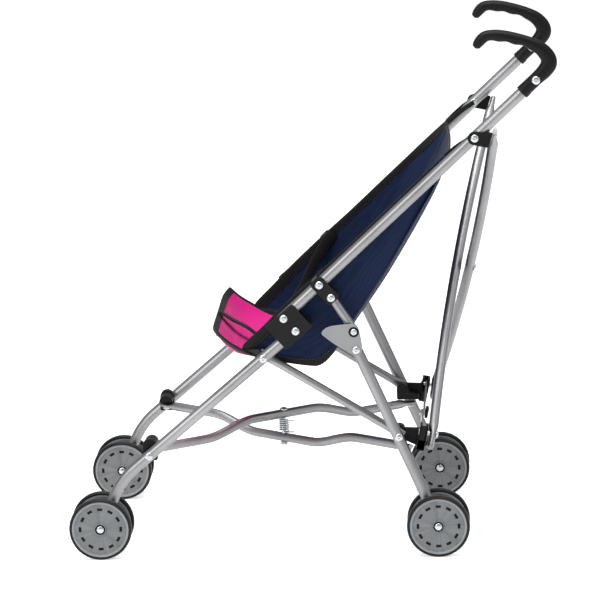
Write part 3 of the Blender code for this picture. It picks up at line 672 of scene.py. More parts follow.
def handle_grip(side, sign):
    """The hooked grip: thick at its bend, with finger grooves along the inside of the hook."""
    x = sign * SIDE_X
    middle = smooth_path([at(x, p) for p in GRIP], 6)
    sizes = smooth_path([Vector((p[2], p[3], 0)) for p in GRIP], 6)
    places = distances(middle)

    def section(i, _t):
        depth, width, _ = sizes[i]
        place = places[i]
        groove = 0.0
        if GROOVES[0] < place < GROOVES[1]:
            groove = 0.0011 * math.sin((place - GROOVES[0]) / (GROOVES[1] - GROOVES[0]) * 3 * math.pi) ** 2
        ends = min(1.0, (i + 0.35) / 2.5) if i < 3 else 1.0
        ends = 0.96 if i == len(middle) - 1 else ends
        ring = []
        for k in range(24):
            a = 2 * math.pi * k / 24
            c, s = math.cos(a), math.sin(a)
            out_w = width * ends * math.copysign(abs(c) ** 0.82, c)
            out_d = depth * ends * math.copysign(abs(s) ** 0.82, s)
            if s > 0:
                out_d -= groove * s
            ring.append((out_w, out_d))
        return ring

    body = f"handle_{side}"
    fitted(sweep(middle, section, f"grip_{side}"), body, "black_plastic", f"handle_grip_{side}")
    collar = [at(x, along(ELBOW, TUBE_DEG, reach)) for reach in (0.3245, 0.3300)]
    fitted(sweep(collar, lambda i, t: circle(0.0070), f"grip_collar_{side}"), body, "black_plastic")
    pin = along(ELBOW, TUBE_DEG, 0.3430)
    rivet(f"rivet_grip_{side}", at(sign * (SIDE_X + 0.0062), pin), (sign, 0, 0), body, 0.0042, 0.0018)
    rivet(f"tail_grip_{side}", at(sign * (SIDE_X - 0.0062), pin), (-sign, 0, 0), body, 0.0036, 0.0012)


def top_bracket(side, sign):
    """A moulded cheek riveted to each face of the handle tube, with a lug behind for the back cross."""
    cheek = arc(TOP_PIN, 0.0068, range(85, 266, 15))
    cheek += [(TOP_PIN[0] + 0.0135, TOP_PIN[1] - 0.0098), (TOP_PIN[0] + 0.0178, TOP_PIN[1] + 0.0046)]
    body = f"handle_{side}"
    high = sign * (SIDE_X + 0.0077)
    plate(f"cheek_{side}", cheek, sign * (SIDE_X + 0.0050), high, body, f"top_bracket_{side}", 0.0020, 0.0010)
    inner = [cheek[0], *cheek[8:]]
    plate(f"lug_{side}", inner, sign * (SIDE_X + 0.0010), sign * (SIDE_X + 0.0052), body, None, 0.0015)
    rivet(f"rivet_top_{side}", at(high, TOP_PIN), (sign, 0, 0), body, 0.0040, 0.0018)
    rivet(f"tail_top_{side}", at(sign * (SIDE_X - 0.0055), TOP_PIN), (-sign, 0, 0), body, 0.0036, 0.0012)


# ---- knuckles and lower cross
ARM_X = 0.092               # from the bolt to the hinge in a knuckle, sideways and lengthways
ARM_Y = 0.129
CROSS_R = 0.0047
CROSS_BOW = 0.0125          # how far a tube of the lower cross bows up or down at the bolt
BOW_FLAT = 0.22             # shares of the arm at which the bow starts to fade, and ends
BOW_END = 0.58
KNUCKLE_FLOOR = CROSS_Z + CROSS_R + 0.0008
KNUCKLE_X = 0.0810          # x of the knuckles' inner faces


def arch(y, low, high, half):
    """An upright outline with a round top."""
    return [(y - half, low), (y + half, low), *arc((y, high - half), half, range(0, 181, 10))]


def knuckles(side, sign):
    """The moulded blocks that hinge the legs to the ends of the lower cross."""
    y = CROSS_Y - ARM_Y
    body = f"front_knuckle_{side}"
    plate(f"front_ear_{side}", arch(y, FRONT_PIN[1] - 0.007, 0.1185, 0.0075), sign * 0.0985, sign * 0.1071,
          body, f"front_knuckle_{side}", 0.002, 0.0008)
    plate(f"front_cap_{side}", arch(y, KNUCKLE_FLOOR, 0.1170, 0.0070), sign * KNUCKLE_X, sign * 0.0990,
          body, None, 0.002, 0.0008)
    for name, place in (("front", y), ("rear", CROSS_Y + ARM_Y)):
        rivet(f"rivet_{name}_hinge_{side}", (sign * ARM_X, place, CROSS_Z - CROSS_R * 0.62), (0, 0, -1),
              f"{name}_knuckle_{side}", 0.0040, 0.0020)
    outline = [
        (0.0800, KNUCKLE_FLOOR), (0.1030, KNUCKLE_FLOOR), (0.1030, 0.1160), (0.0945, 0.1175),
        *arc(REAR_PIN, 0.0062, range(10, 171, 20)),
    ]
    body = f"rear_knuckle_{side}"
    plate(f"rear_cap_{side}", outline, sign * KNUCKLE_X, sign * 0.0927, body, body, 0.0012, 0.0008)


def pins(side, sign):
    """The shanks of the pins, and the CAD rivets that the drawn heads stand in for."""
    for name in ("front_pivot", "rear_pivot", "elbow", "link"):
        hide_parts(f"{name}_rivet_{side}")
    for name, pin, low, high, body in (
        ("elbow", ELBOW, SIDE_X - CHEEK, SIDE_X + CHEEK, f"front_leg_{side}"),
        ("link", LINK_PIN, SIDE_X - CHEEK, SIDE_X + CHEEK, f"handle_{side}"),
        ("front", FRONT_PIN, 0.086, 0.1188, f"front_knuckle_{side}"),
        ("rear", REAR_PIN, 0.086, 0.1188, f"rear_knuckle_{side}"),
    ):
        bar(f"shank_{name}_{side}", [at(sign * low, pin), at(sign * high, pin)], SHANK_R, body,
            material="zinc", up=(0, 0, 1))


def lower_cross():
    """Two flat-ended tubes, one bowed up and one down, with the bolt and the spring between them."""
    for name, sign, bow in (("upper", 1, CROSS_BOW), ("lower", -1, -CROSS_BOW)):
        arm = Vector((ARM_X, -ARM_Y, 0))
        reach = arm.length + 0.0034
        direction = Vector((arm.x * sign, arm.y, 0)).normalized()
        route = []
        for i in range(-24, 25):
            t = i / 24
            lift = bow * eased((BOW_END - abs(t)) / (BOW_END - BOW_FLAT))
            route.append(direction * reach * -t + Vector((0, CROSS_Y, CROSS_Z + lift)))
        bar(f"tube_cross_{name}", route, CROSS_R, f"cross_tube_{name}", f"cross_tube_{name}",
            (0.014, 0.55), (0.014, 0.55), up=(0, 0, 1))
    high = CROSS_Z + CROSS_BOW + CROSS_R
    low = CROSS_Z - CROSS_BOW - CROSS_R
    bar("bolt_shank", [(0, CROSS_Y, low - 0.003), (0, CROSS_Y, high)], 0.0022, "base", "cross_pivot_bolt",
        material="zinc", up=(1, 0, 0))
    rivet("bolt_head", (0, CROSS_Y, high), (0, 0, 1), "base")
    six = arc((0, CROSS_Y), 0.0040, range(0, 360, 60))
    rings = [[(*point, z) for point in six] for z in (low - 0.0030, low)]
    prism("bolt_nut", *rings, "base", "zinc", None, 0.0004)
    torsion_spring()


def torsion_spring():
    turns, radius = 6, 0.0045
    reach = CROSS_BOW - CROSS_R - 0.0016
    low, high = CROSS_Z - reach, CROSS_Z + reach
    route = [Vector((radius, CROSS_Y + 0.011, low))]
    for i in range(turns * 24 + 1):
        a = 2 * math.pi * i / 24
        z = low + (high - low) * i / turns / 24
        route.append(Vector((radius * math.cos(a), CROSS_Y + radius * math.sin(a), z)))
    route.append(Vector((radius, CROSS_Y + 0.011, high)))
    coil = sweep(route, lambda i, t: circle(0.00075, 10), "spring", up=(0, 0, 1))
    fitted(coil, "base", "zinc", "torsion_spring")


# ---- back cross and rear lock
BACK_DEG = slope_of(BACK_LOW, BACK_TOP)
BACK_RISE = math.hypot(BACK_TOP[0] - BACK_LOW[0], BACK_TOP[1] - BACK_LOW[1])
FOOT_UP = 0.0126            # from BACK_LOW up the slope to the feet of the back tubes
FOOT_X = 0.102
TOP_X = 0.104
BAR_SAG = 0.0060            # how far the lock bars drop towards the middle


def on_back(x, up, ahead=0.0):
    """A point at a place on the back cross's slope, and ahead of it."""
    return at(x, along(BACK_LOW, BACK_DEG, up, ahead))


AHEAD = on_back(0, 0, 1) - on_back(0, 0)


def back_outline(low, high, rear, front):
    return box_along(BACK_LOW, BACK_DEG, low, high, rear, front)


def back_tube(side, sign):
    """One bowed tube of the back cross, pressed flat at both ends."""
    foot, top = on_back(sign * FOOT_X, FOOT_UP), on_back(-sign * TOP_X, BACK_RISE)
    direction = (top - foot).normalized()
    bow = AHEAD * sign * 0.0066
    route = [foot - direction * 0.0150]
    for i in range(25):
        t = i / 12 - 1
        route.append(foot.lerp(top, i / 24) + bow * (1 - t * t))
    route.append(top + direction * 0.0045)
    body = f"back_tube_{side}"
    bar(f"tube_back_{side}", route, BACK_R, body, f"back_tube_{side}", (0.020, 0.62), (0.014, 0.55), up=AHEAD)
    rivet(f"rivet_back_top_{side}", top - Vector((sign * 0.0026, 0, 0)), (-sign, 0, 0), body, 0.0026, 0.0012)
    if sign < 0:
        middle = foot.lerp(top, 0.5)
        rivet("rivet_back_cross", middle - AHEAD * 0.0116, -AHEAD, body, 0.0036, 0.0018)


def back_bracket(side, sign):
    """The moulded house that holds a back tube's foot and a lock bar, on its arm from the rear pivot."""
    body = f"back_bracket_{side}"
    arm = arc(REAR_PIN, 0.0056, range(120, 241, 15))
    arm += [along(BACK_LOW, BACK_DEG, -0.0040, 0.0119), along(BACK_LOW, BACK_DEG, 0.0150, 0.0119)]
    inner, outer = sign * 0.0930, sign * 0.0966
    plate(f"lock_arm_{side}", arm, inner, outer, body, body, 0.0015, 0.0008)
    wide = sign * (FOOT_X + 0.0065)
    for name, box in (
        ("front", (-0.005, 0.0205, 0.0121, 0.0139)), ("rear", (-0.005, 0.0205, 0.0056, 0.0081)),
        ("foot", (-0.005, 0.0060, 0.0060, 0.0135)),
    ):
        plate(f"lock_house_{name}_{side}", back_outline(*box), inner, wide, body, None, 0.0012)
    plate(f"lock_house_side_{side}", back_outline(-0.005, 0.0205, 0.0058, 0.0137), wide - sign * 0.0015, wide,
          body, None, 0.0020, 0.0005)
    foot = on_back(sign * FOOT_X, FOOT_UP)
    head = rivet(f"rivet_foot_{side}", foot - AHEAD * 0.0036, -AHEAD, body, 0.0040, 0.0020)
    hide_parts(f"foot_rivet_{side}")
    bar(f"shank_foot_{side}", [foot - AHEAD * 0.0050, foot + AHEAD * 0.0142], SHANK_R, body,
        material="zinc", up=(0, 0, 1))
    rivet(f"tail_foot_{side}", foot + AHEAD * 0.0139, AHEAD, body, 0.0034, 0.0012)


def lock_bar(side, sign):
    """Half of the folding lock across the rear. The right half carries the pedal."""
    rear = 0.0103 if sign > 0 else 0.0084
    outline = []
    for x, up, start in ((FOOT_X, FOOT_UP, 90), (0.0, FOOT_UP - BAR_SAG, -90)):
        outline += arc((x, up), 0.0042, range(start, start - 181, -15))
    rings = [[on_back(sign * x, up, ahead) for x, up in outline] for ahead in (rear, rear + 0.0015)]
    body = f"lock_bar_{side}"
    prism(f"flat_bar_{side}", *rings, body, "silver_tube", body, 0.0003)
    middle = FOOT_UP - BAR_SAG
    if sign < 0:
        rivet("rivet_lock_middle", on_back(0.0, middle, 0.0122), AHEAD, body, 0.0034, 0.0014)
        outline = back_outline(middle - 0.0055, middle + 0.0045, 0.0048, 0.0078)
        plate("pedal", outline, -0.0165, -0.0005, body, "lock_pedal", 0.0012, 0.0010)
        for k in range(4):
            x = -0.0145 + 0.0036 * k
            ridge = back_outline(middle - 0.0048, middle + 0.0038, 0.0044, 0.0052)
            plate(f"pedal_rib_{k}", ridge, x, x + 0.0014, body, None, 0.0003, 0.0002)


# ---- wheels
WHEEL_R = 0.0315
WHEEL_HALF = 0.00425        # half a disc's width
WHEEL_OUT = 0.01375         # from the leg's middle to a disc's middle
SLOT_COUNT = 12
SLOT_TURN = 360 / SLOT_COUNT
SLOT_RADII = (0.0192, 0.0217)
SLOT_HALF = 7.6             # half a slot's length, in degrees
STEPS = SLOT_COUNT * 8


def wheel_mesh():
    """A disc with a ring of slots, a raised rim and a tyre; its face looks along +X."""
    h = WHEEL_HALF
    face = [
        (h - 0.0032, 0.0021), (h - 0.0032, 0.0048), (h - 0.0010, 0.0052), (h - 0.0008, 0.0060),
        (h - 0.0024, 0.0066), (h - 0.0026, 0.0120), (h - 0.0026, 0.0190), (h - 0.0026, 0.0219),
        (h - 0.0024, 0.0250), (h - 0.0022, 0.0262), (h - 0.0009, 0.0266), (h - 0.0007, 0.0284),
        (h - 0.0016, 0.0286), (h - 0.0003, 0.0289), (h - 0.0002, 0.0304), (h - 0.0010, 0.0311),
        (h - 0.0026, WHEEL_R),
    ]
    profile = face + [(-x, r) for x, r in reversed(face)]
    materials = ("wheel_plastic", "tyre_edge", "tread", "black_plastic", "rim_plastic")
    # material numbers of the bands from the hub out: hub, disc, rim, tyre, tread
    bands = [3] * 2 + [0] * 7 + [4] * 2 + [1] * (len(face) - 12) + [2]
    bands += bands[-2::-1]
    wheel = spun("wheel", profile, STEPS, materials, lambda i: bands[i])
    work = bmesh.new()
    work.from_mesh(wheel.data)
    for side in (1, -1):
        slots = [f for f in work.faces if in_slot(f, side)]
        grown = bmesh.ops.extrude_face_region(work, geom=slots)
        moved = [v for v in grown["geom"] if isinstance(v, bmesh.types.BMVert)]
        bmesh.ops.translate(work, verts=moved, vec=(-side * 0.0013, 0, 0))
        bmesh.ops.delete(work, geom=slots, context="FACES_ONLY")
        for face_ in grown["geom"]:
            if isinstance(face_, bmesh.types.BMFace):
                face_.material_index = 3
    bmesh.ops.recalc_face_normals(work, faces=work.faces)
    work.to_mesh(wheel.data)
    work.free()
    shade(wheel, 35)
    mesh = wheel.data
    bpy.data.objects.remove(wheel)
    return mesh


def in_slot(face, side):
    """Whether a face lies where one of the slots is pressed in."""
    middle = face.calc_center_median()
    radius = math.hypot(middle.y, middle.z)
    turn = math.degrees(math.atan2(middle.z, middle.y)) - 90
    away = abs((turn + SLOT_TURN / 2) % SLOT_TURN - SLOT_TURN / 2)
    return middle.x * side > 0 and SLOT_RADII[0] < radius < SLOT_RADII[1] and away < SLOT_HALF


def wheels(side, sign):
    """Two twin pairs: discs, the pin with its domed ends, and a spacer on each side of the leg."""
    for place, centre in (("front", FRONT_AXLE), ("rear", REAR_AXLE)):
        body = f"{place}_wheels_{side}"
        for which, out in (("outer", 1), ("inner", -1)):
            disc = link(WHEEL, f"disc_{place}_{side}_{which}")
            x = sign * (SIDE_X + out * WHEEL_OUT)
            turn = Matrix.Rotation(math.pi if sign * out < 0 else 0.0, 4, "Z")
            disc.matrix_world = Matrix.Translation(at(x, centre)) @ turn
            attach(disc, body)
            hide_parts(f"{place}_wheel_{side}_{which}")
        reach = WHEEL_OUT + WHEEL_HALF - 0.0010
        dome = [(reach + 0.0014 * c, 0.0038 * s) for c, s in arc((0, 0), 1, range(0, 91, 10))]
        cap = [*dome, (reach - 0.0004, 0.0036), (reach - 0.0004, 0.0020)]
        rod = spun(f"pin_{place}_{side}", cap + [(-x, r) for x, r in reversed(cap)], 24)
        rod.location = at(sign * SIDE_X, centre)
        fitted(rod, BODY_OF[f"{place}_axle_{side}"], "zinc", f"{place}_axle_{side}")
        profile = [(0.0, 0.0021), (0.0, 0.0048), (0.0030, 0.0044), (0.0030, 0.0021)]
        for which, shift in (("out", 0.0060), ("in", -0.0090)):
            spacer = spun(f"spacer_{place}_{side}_{which}", profile, 24, ("black_plastic",))
            spacer.location = at(sign * SIDE_X + shift, centre)
            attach(spacer, f"{place}_leg_{side}")


BODIES = frame["record"]["behaviour"]["bodies"]
BODY_OF = {node: body for body, nodes in BODIES.items() for node in nodes}
WHEEL = wheel_mesh()


# ---- seat
PAN = (
    # side view of the pan: (y, z) on its middle line, (y, z) at its corner, half its width
    ((-0.1000, 0.2235), (-0.0940, 0.2250), 0.0965), ((-0.0900, 0.2085), (-0.0840, 0.2160), 0.0965),
    ((-0.0775, 0.1985), (-0.0710, 0.2078), 0.0965), ((-0.0605, 0.1950), (-0.0570, 0.2010), 0.0962),
    ((-0.0413, 0.1925), (-0.0413, 0.1968), 0.0950), ((-0.0264, 0.1895), (-0.0264, 0.1935), 0.0945),
    ((-0.0044, 0.1865), (-0.0044, 0.1902), 0.0940), ((0.0086, 0.1880), (0.0086, 0.1910), 0.0940),
    ((0.0215, 0.1975), (0.0200, 0.2010), 0.0940), ((0.0315, 0.2130), (0.0290, 0.2150), 0.0940),
    ((0.0435, 0.2330), (0.0411, 0.2350), 0.0945), ((0.0615, 0.2575), (0.0584, 0.2600), 0.0950),
    ((0.0790, 0.2845), (0.0758, 0.2870), 0.0960), ((0.1065, 0.3310), (0.1030, 0.3335), 0.0980),
    ((0.1300, 0.3730), (0.1270, 0.3755), 0.1005), ((0.1395, 0.3965), (0.1360, 0.3997), 0.1030),
)
PANEL = (
    # a side panel: (y, z) at its lower edge, (y, z) at its rim, the rim's distance from the middle
    ((-0.0680, 0.2062), (-0.0690, 0.2075), 0.0955), ((-0.0600, 0.2022), (-0.0672, 0.2120), 0.0960),
    ((-0.0500, 0.1990), (-0.0600, 0.2195), 0.0985), ((-0.0330, 0.1948), (-0.0475, 0.2315), 0.1015),
    ((-0.0044, 0.1904), (-0.0290, 0.2505), 0.1040), ((0.0086, 0.1912), (-0.0020, 0.2760), 0.1050),
    ((0.0200, 0.2012), (0.0182, 0.2942), 0.1055), ((0.0290, 0.2152), (0.0330, 0.3074), 0.1055),
    ((0.0411, 0.2352), (0.0503, 0.3236), 0.1055), ((0.0584, 0.2602), (0.0682, 0.3404), 0.1055),
    ((0.0758, 0.2872), (0.0872, 0.3581), 0.1055), ((0.1030, 0.3337), (0.1100, 0.3794), 0.1055),
    ((0.1270, 0.3757), (0.1290, 0.3964), 0.1050), ((0.1360, 0.3999), (0.1365, 0.4024), 0.1040),
)
PINK_END = -0.0470          # y where the pink front section meets the navy
LIP_END = -0.0555           # y where the binding of the front section's sides ends
FOOT_END = 0.0195           # y where the binding under a side panel ends
FINE = 4                    # steps between the rows above
ACROSS = 18                 # steps from the pan's middle to its corner
UP_PANEL = 12               # steps from a side panel's lower edge to its rim
TAPE_HIGH = 0.0011          # how far a binding stands above the cloth
CLOTH_THICK = 0.0011
STITCH = 0.0034             # from one stitch to the next
CLOTH = {
    "quality": 5, "mass": 0.15, "tension_stiffness": 15, "compression_stiffness": 15,
    "shear_stiffness": 5, "bending_stiffness": 0.08, "vertex_group_mass": "held",
}


def pan_grid():
    """Rows from the front edge back, each from the right corner to the left one."""
    middle = smooth_path([(0, *m) for m, _, _ in PAN], FINE)
    corner = smooth_path([(h, *c) for _, c, h in PAN], FINE)
    rows = []
    for m, c in zip(middle, corner):
        row = []
        for k in range(-ACROSS, ACROSS + 1):
            t = abs(k) / ACROSS
            front = min(1.0, max(0.0, (-0.045 - c.y) / 0.025))
            rise = t ** (3.0 + 4.0 * front)
            side = 1 if k >= 0 else -1
            lift = 0.0045 * t ** 3 * front if side < 0 else 0.0
            row.append(Vector((side * c.x * t, m.y + (c.y - m.y) * rise, m.z + (c.z - m.z) * rise + lift)))
        rows.append(row)
    return rows


def panel_grid(sign):
    """Rows from the front back, each from the lower edge up to the rim."""
    low = smooth_path([(0.0945, *b) for b, _, _ in PANEL], FINE)
    rim = smooth_path([(x, *r) for _, r, x in PANEL], FINE)
    rows = []
    for b, r in zip(low, rim):
        height = (r - b).length
        row = []
        for k in range(UP_PANEL + 1):
            t = k / UP_PANEL
            point = b.lerp(r, t)
            point.x += 0.035 * height * math.sin(math.pi * t) * t
            row.append(Vector((sign * point.x, point.y, point.z)))
        rows.append(row)
    return rows


def grid_mesh(name, rows):
    work = bmesh.new()
    verts = [[work.verts.new(p) for p in row] for row in rows]
    for one, two in zip(verts, verts[1:]):
        for k in range(len(one) - 1):
            work.faces.new((one[k], one[k + 1], two[k + 1], two[k]))
    mesh = bpy.data.meshes.new(name)
    work.to_mesh(mesh)
    work.free()
    return link(mesh, name)


def settle(obj, held, slack):
    """Let the cloth sag and crease between its held edges, cut a little larger than its span."""
    group = obj.vertex_groups.new(name="held")
    for index, weight in held.items():
        group.add([index], weight, "REPLACE")
    cloth = obj.modifiers.new("cloth", "CLOTH")
    for key, value in CLOTH.items():
        setattr(cloth.settings, key, value)
    cloth.settings.shrink_min = cloth.settings.shrink_max = -slack
    cloth.settings.effector_weights.gravity = 0.4
    scene = bpy.context.scene
    for step in range(1, 22):
        scene.frame_set(step)
    evaluated = obj.evaluated_get(bpy.context.evaluated_depsgraph_get())
    points = [v.co.copy() for v in evaluated.data.vertices]
    obj.modifiers.remove(cloth)
    obj.vertex_groups.clear()
    scene.frame_set(1)
    for vert, point in zip(obj.data.vertices, points):
        vert.co = point


def held_edges(rows):
    """Full hold on the edges of a grid, and a little less on the rows next to them."""
    count, wide = len(rows), len(rows[0])
    held = {}
    for i in range(count):
        for k in range(wide):
            away = min(i, count - 1 - i, k, wide - 1 - k)
            if away < 2:
                held[i * wide + k] = 1.0 - 0.1 * away
    return held


def read_back(obj, rows):
    wide = len(rows[0])
    points = [v.co.copy() for v in obj.data.vertices]
    return [points[i * wide:(i + 1) * wide] for i in range(len(rows))]


def cloth_sheet(name, rows, slack, materials, pick=None):
    """A settled sheet of cloth with its thickness, the rows it settled to, and its area."""
    obj = grid_mesh(name, rows)
    settle(obj, held_edges(rows), slack)
    rows = read_back(obj, rows)
    area = sum(f.area for f in obj.data.polygons)
    paint(obj, *materials)
    if pick:
        for face in obj.data.polygons:
            face.material_index = pick(face.center)
    for face in obj.data.polygons:
        face.use_smooth = True
    finish_soft(obj)
    return obj, rows, area


def finish_soft(obj):
    """Give a soft piece its thickness and roundness for good."""
    solid = obj.modifiers.new("thick", "SOLIDIFY")
    solid.thickness = CLOTH_THICK
    solid.offset = 0.0
    soft = obj.modifiers.new("soft", "SUBSURF")
    soft.levels = soft.render_levels = 1
    bpy.context.view_layer.update()
    evaluated = obj.evaluated_get(bpy.context.evaluated_depsgraph_get())
    mesh = bpy.data.meshes.new_from_object(evaluated)
    obj.modifiers.clear()
    obj.data = mesh


def on_seat(obj, slot=None, *nodes):
    """Let a soft piece ride on the seat's body and stand in for CAD nodes, on a mesh of its own."""
    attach(obj, "seat")
    if nodes:
        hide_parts(*nodes)
    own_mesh(obj)


def walk(row, distance):
    """The point that far along a row of points."""
    for a, b in zip(row, row[1:]):
        step = (b - a).length
        if step >= distance and step > 1e-9:
            return a.lerp(b, distance / step)
        distance -= step
    return row[-1].copy()


def binding(name, lines, width):
    """Tape folded over a cloth edge. Each line runs from the edge inwards over the cloth."""
    work = bmesh.new()
    rings, stitch_points = [], []
    count = len(lines)
    for i, line in enumerate(lines):
        wide = width(i / (count - 1)) if callable(width) else width
        ahead = lines[min(i + 1, count - 1)][0] - lines[max(i - 1, 0)][0]
        inward = walk(line, 0.002) - line[0]
        inward = inward.normalized() if inward.length > 1e-6 else Vector((0, 0, 1))
        normal = ahead.cross(inward).normalized()
        marks = [walk(line, wide * k) for k in (1.0, 0.92, 0.6, 0.3, 0.05)]
        lifts = [normal * TAPE_HIGH * h for h in (0.45, 0.95, 1.0, 1.05, 1.0)]
        fold, lift = line[0] - inward * TAPE_HIGH * 0.75, normal * TAPE_HIGH * 0.5
        ring = [p + up for p, up in zip(marks, lifts)] + [fold + lift, fold - lift]
        ring += [p - up for p, up in zip(reversed(marks), reversed(lifts))]
        rings.append([work.verts.new(p) for p in ring])
        stitch_points.append((walk(line, max(wide - 0.0016, wide * 0.6)), normal))
    skin(work, rings)
    on_seat(paint(from_bmesh(work, name, angle=60), "webbing"), "webbing")
    stitches(f"{name}_thread", stitch_points)


def stitches(name, points):
    """Short rounded stitches on both faces of a tape."""
    work = bmesh.new()
    travel = 0.0
    for (a, normal), (b, _) in zip(points, points[1:]):
        step = (b - a).length
        if step < 1e-7:
            continue
        while travel < step:
            middle = a.lerp(b, travel / step)
            ahead = (b - a).normalized()
            side = ahead.cross(normal)
            for face in (1, -1):
                add_stitch(work, middle + normal * face * (TAPE_HIGH * 1.02), ahead, side, normal)
            travel += STITCH
        travel -= step
    on_seat(paint(from_bmesh(work, name), "thread"))


def add_stitch(work, middle, ahead, side, normal):
    """One stitch: a short five-sided spindle."""
    rings = []
    for along_it, size in ((-0.0011, 0.25), (-0.0007, 0.9), (0.0007, 0.9), (0.0011, 0.25)):
        ring = []
        for k in range(5):
            a = 2 * math.pi * k / 5
            offset = side * (0.00028 * size * math.cos(a)) + normal * (0.00028 * size * math.sin(a))
            ring.append(work.verts.new(middle + ahead * along_it + offset))
        rings.append(ring)
    skin(work, rings)


def strap(name, path, width, up=(1, 0, 0)):
    """A webbing strap along a path, its width towards up."""
    w, t = width / 2, 0.00065
    ring = [(w, t * 0.3), (w - t, t), (0, t * 1.05), (-w + t, t), (-w, t * 0.3)]
    ring += [(a, -b) for a, b in reversed(ring)]
    fine = densify([Vector(p) for p in path], 0.003)
    return paint(sweep(fine, lambda i, s: ring, name, up=up), "webbing")


def seat():
    """The sling: its pan, two side panels, their bindings, and the straps."""
    pan, rows, area = cloth_sheet(
        "seat_pan", pan_grid(), 0.004, ("navy_cloth", "pink_cloth"),
        lambda centre: 1 if centre.y < PINK_END else 0,
    )
    on_seat(pan, "navy_cloth", "seat_fabric", "seat_pad")
    columns = [[row[k] for row in rows] for k in range(len(rows[0]))]
    binding("bind_front", columns, 0.0068)
    binding("bind_hem", [column[::-1] for column in columns], 0.0034)
    lip = next(i for i, row in enumerate(rows) if row[0].y > LIP_END)
    for side, sign in SIDES:
        lines = [row[::-sign] for row in rows[:lip + 1]]
        binding(f"bind_lip_{side}", lines, 0.0072 if sign > 0 else 0.0022)
        side_panel(side, sign)
    straps(rows)


def rim_width(t):
    """How wide the binding of a rim is: narrower towards the seat's front and its top hem."""
    return 0.0112 - 0.004 * max(0.0, t * 8 - 7) - 0.006 * max(0.0, 1 - t * 12)


def side_panel(side, sign):
    """One side panel, its bindings, and the seam to the pan."""
    panel, rows, area = cloth_sheet(f"seat_side_{side}", panel_grid(sign), 0.003, ("navy_cloth",))
    on_seat(panel, "navy_cloth")
    binding(f"bind_rim_{side}", [row[::-1] for row in rows], rim_width)
    foot = next(i for i, row in enumerate(rows) if row[0].y > FOOT_END)
    binding(f"bind_foot_{side}", rows[:foot + 1], lambda t: 0.0088 * min(1.0, 0.3 + t * 3))
    seam = sweep([row[0] for row in rows[foot:]], lambda i, t: circle(0.0008, 8), f"seam_{side}")
    on_seat(paint(seam, "thread"))


def straps(rows):
    """The strap between the legs, the lap belt, and the ties to the frame."""
    spine = [row[ACROSS] for row in rows[::3]]
    middle = [p + Vector((0, 0, 0.0017)) for p in spine if -0.053 < p.y < -0.005]
    start = [(0, -0.0985, 0.2258), (0, -0.0850, 0.2165), (0, -0.0690, 0.2075)]
    crotch = strap("crotch_strap", smooth_path(start + middle), 0.0125)
    on_seat(crotch, "webbing")
    half = [
        (0.1020, 0.0160, 0.2860), (0.0985, 0.0080, 0.2760), (0.0905, -0.0030, 0.2580),
        (0.0735, -0.0140, 0.2390), (0.0370, -0.0225, 0.2275),
    ]
    line = half + [(0.0, -0.0240, 0.2235)] + [(-x, y, z) for x, y, z in reversed(half)]
    belt = strap("belt", smooth_path(line), 0.0120, up=(0, -0.25, 1))
    on_seat(belt, "webbing", "lap_belt")
    for side, sign in SIDES:
        tie(side, sign)
        hanger(side, sign)


HANGERS = (
    # name, the way its width faces, and points (x, y, z) from the hem to the rivet
    ("inner", (0, -0.68, 0.73), (
        (0.1032, 0.1352, 0.4005), (0.1055, 0.1450, 0.4075),
        (0.1064, 0.1550, 0.4150), (0.1064, 0.1645, 0.4212),
    )),
    ("outer", (0.5, -0.6, 0.6), (
        (0.1050, 0.1362, 0.4020), (0.1078, 0.1455, 0.4105),
        (0.1135, 0.1555, 0.4180), (0.1192, 0.1635, 0.4212),
    )),
)


def hanger(side, sign):
    """The webbing from the top corner of the seat to the rivet of the top bracket."""
    for name, up, points in HANGERS:
        route = smooth_path([(sign * x, y, z) for x, y, z in points], 6)
        obj = strap(f"hanger_{name}_{side}", route, 0.0048, up=up)
        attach(obj, f"handle_{side}")


def tie(side, sign):
    """The stitched corner that ties the front of the seat to the leg."""
    corner = (
        (0.0958, -0.0665, 0.2062), (0.0958, -0.0560, 0.2000),
        (0.1068, -0.0480, 0.2055), (0.1068, -0.0530, 0.2092),
    )
    low = [Vector((sign * x, y, z)) for x, y, z in corner]
    high = [p + Vector((0, 0.0007, 0.0011)) for p in low]
    prism(f"tie_{side}", low, high, f"front_leg_{side}", "webbing", None, 0.0003)


# ---- stage
LIGHTS = (
    # name, place, target, size, watts
    ("top", (0.4, -0.1, 2.6), (0, 0, 0.2), (2.4, 2.4), 105),
    ("front", (2.4, -2.2, 1.7), (0, 0, 0.25), (1.4, 1.4), 48),
    ("rear", (1.2, 2.6, 1.6), (0, 0, 0.25), (1.2, 1.6), 14),
)
SKY = 0.50
FLOOR_GLOW = 0.52
FLOOR_SIZE = 14
CAMERA_PLACE = (3.4186, 0.1595, 0.9761)
CAMERA_TARGET = (0, 0.0065, 0.24112)
CAMERA_LENS = 205.534
CAMERA_SHIFT = (-0.03575, -0.00824)
CAMERA_ROLL = -1.23467


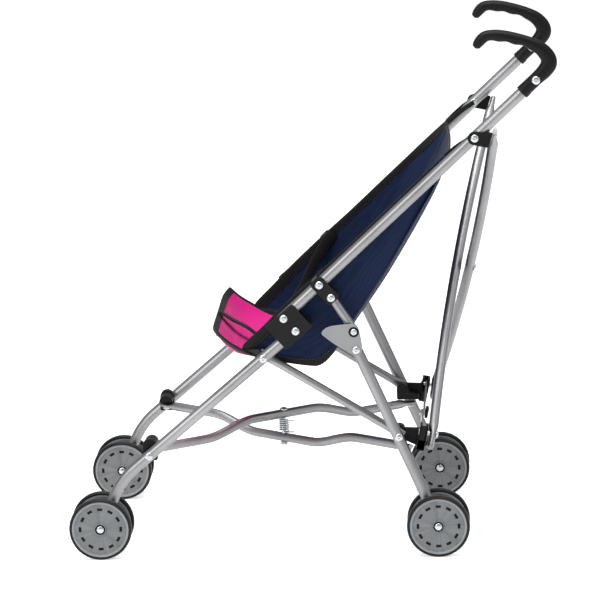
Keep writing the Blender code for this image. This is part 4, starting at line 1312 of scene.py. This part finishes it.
def area_light(name, place, target, size, watts):
    data = bpy.data.lights.new(name, "AREA")
    data.shape = "RECTANGLE"
    data.size, data.size_y = size
    data.energy = watts
    light = link(data, name)
    light.location = place
    light.rotation_mode = "QUATERNION"
    light.rotation_quaternion = (Vector(target) - Vector(place)).to_track_quat("-Z", "Y")


def studio():
    """A pale floor that glows a little, a pale sky, and three soft lights."""
    work = bmesh.new()
    bmesh.ops.create_grid(work, x_segments=1, y_segments=1, size=FLOOR_SIZE)
    floor = from_bmesh(work, "floor", smooth=False)
    s = Shader("floor", rough=0.55, Specular_IOR_Level=0.25, Emission_Color=(1, 1, 1, 1),
               Emission_Strength=FLOOR_GLOW)
    s.colour(s.mix(s.noise(1.5, 3), (0.84, 0.84, 0.845), (0.88, 0.88, 0.885)))
    floor.data.materials.append(s.material)
    world = bpy.data.worlds.new("world")
    bpy.context.scene.world = world
    world.use_nodes = True
    back = world.node_tree.nodes["Background"]
    back.inputs["Color"].default_value = (0.97, 0.98, 1.0, 1)
    back.inputs["Strength"].default_value = SKY
    for light in LIGHTS:
        area_light(*light)


def camera():
    """A long lens from the child's left, a little above, and turned slightly about its own line of sight."""
    scene = bpy.context.scene
    data = bpy.data.cameras.new("camera")
    data.sensor_width = 36
    data.lens = CAMERA_LENS
    data.shift_x, data.shift_y = CAMERA_SHIFT
    data.clip_end = 60
    scene.camera = link(data, "camera")
    place = Vector(CAMERA_PLACE)
    ahead = (Vector(CAMERA_TARGET) - place).normalized()
    right = ahead.cross(Vector((0, 0, 1))).normalized()
    up = right.cross(ahead)
    c, s = math.cos(math.radians(CAMERA_ROLL)), math.sin(math.radians(CAMERA_ROLL))
    axes = Matrix((right * c + up * s, up * c - right * s, -ahead)).transposed()
    scene.camera.matrix_world = Matrix.Translation(place) @ axes.to_4x4()
    scene.view_settings.view_transform = "Standard"


def build():
    """Every piece, then the stage."""
    paint_frame()
    for side, sign in SIDES:
        side_frame(side, sign)
        brackets(side, sign)
        handle_grip(side, sign)
        top_bracket(side, sign)
        knuckles(side, sign)
        pins(side, sign)
        back_tube(side, sign)
        back_bracket(side, sign)
        lock_bar(side, sign)
        wheels(side, sign)
    lower_cross()
    seat()
    studio()
    camera()


build()
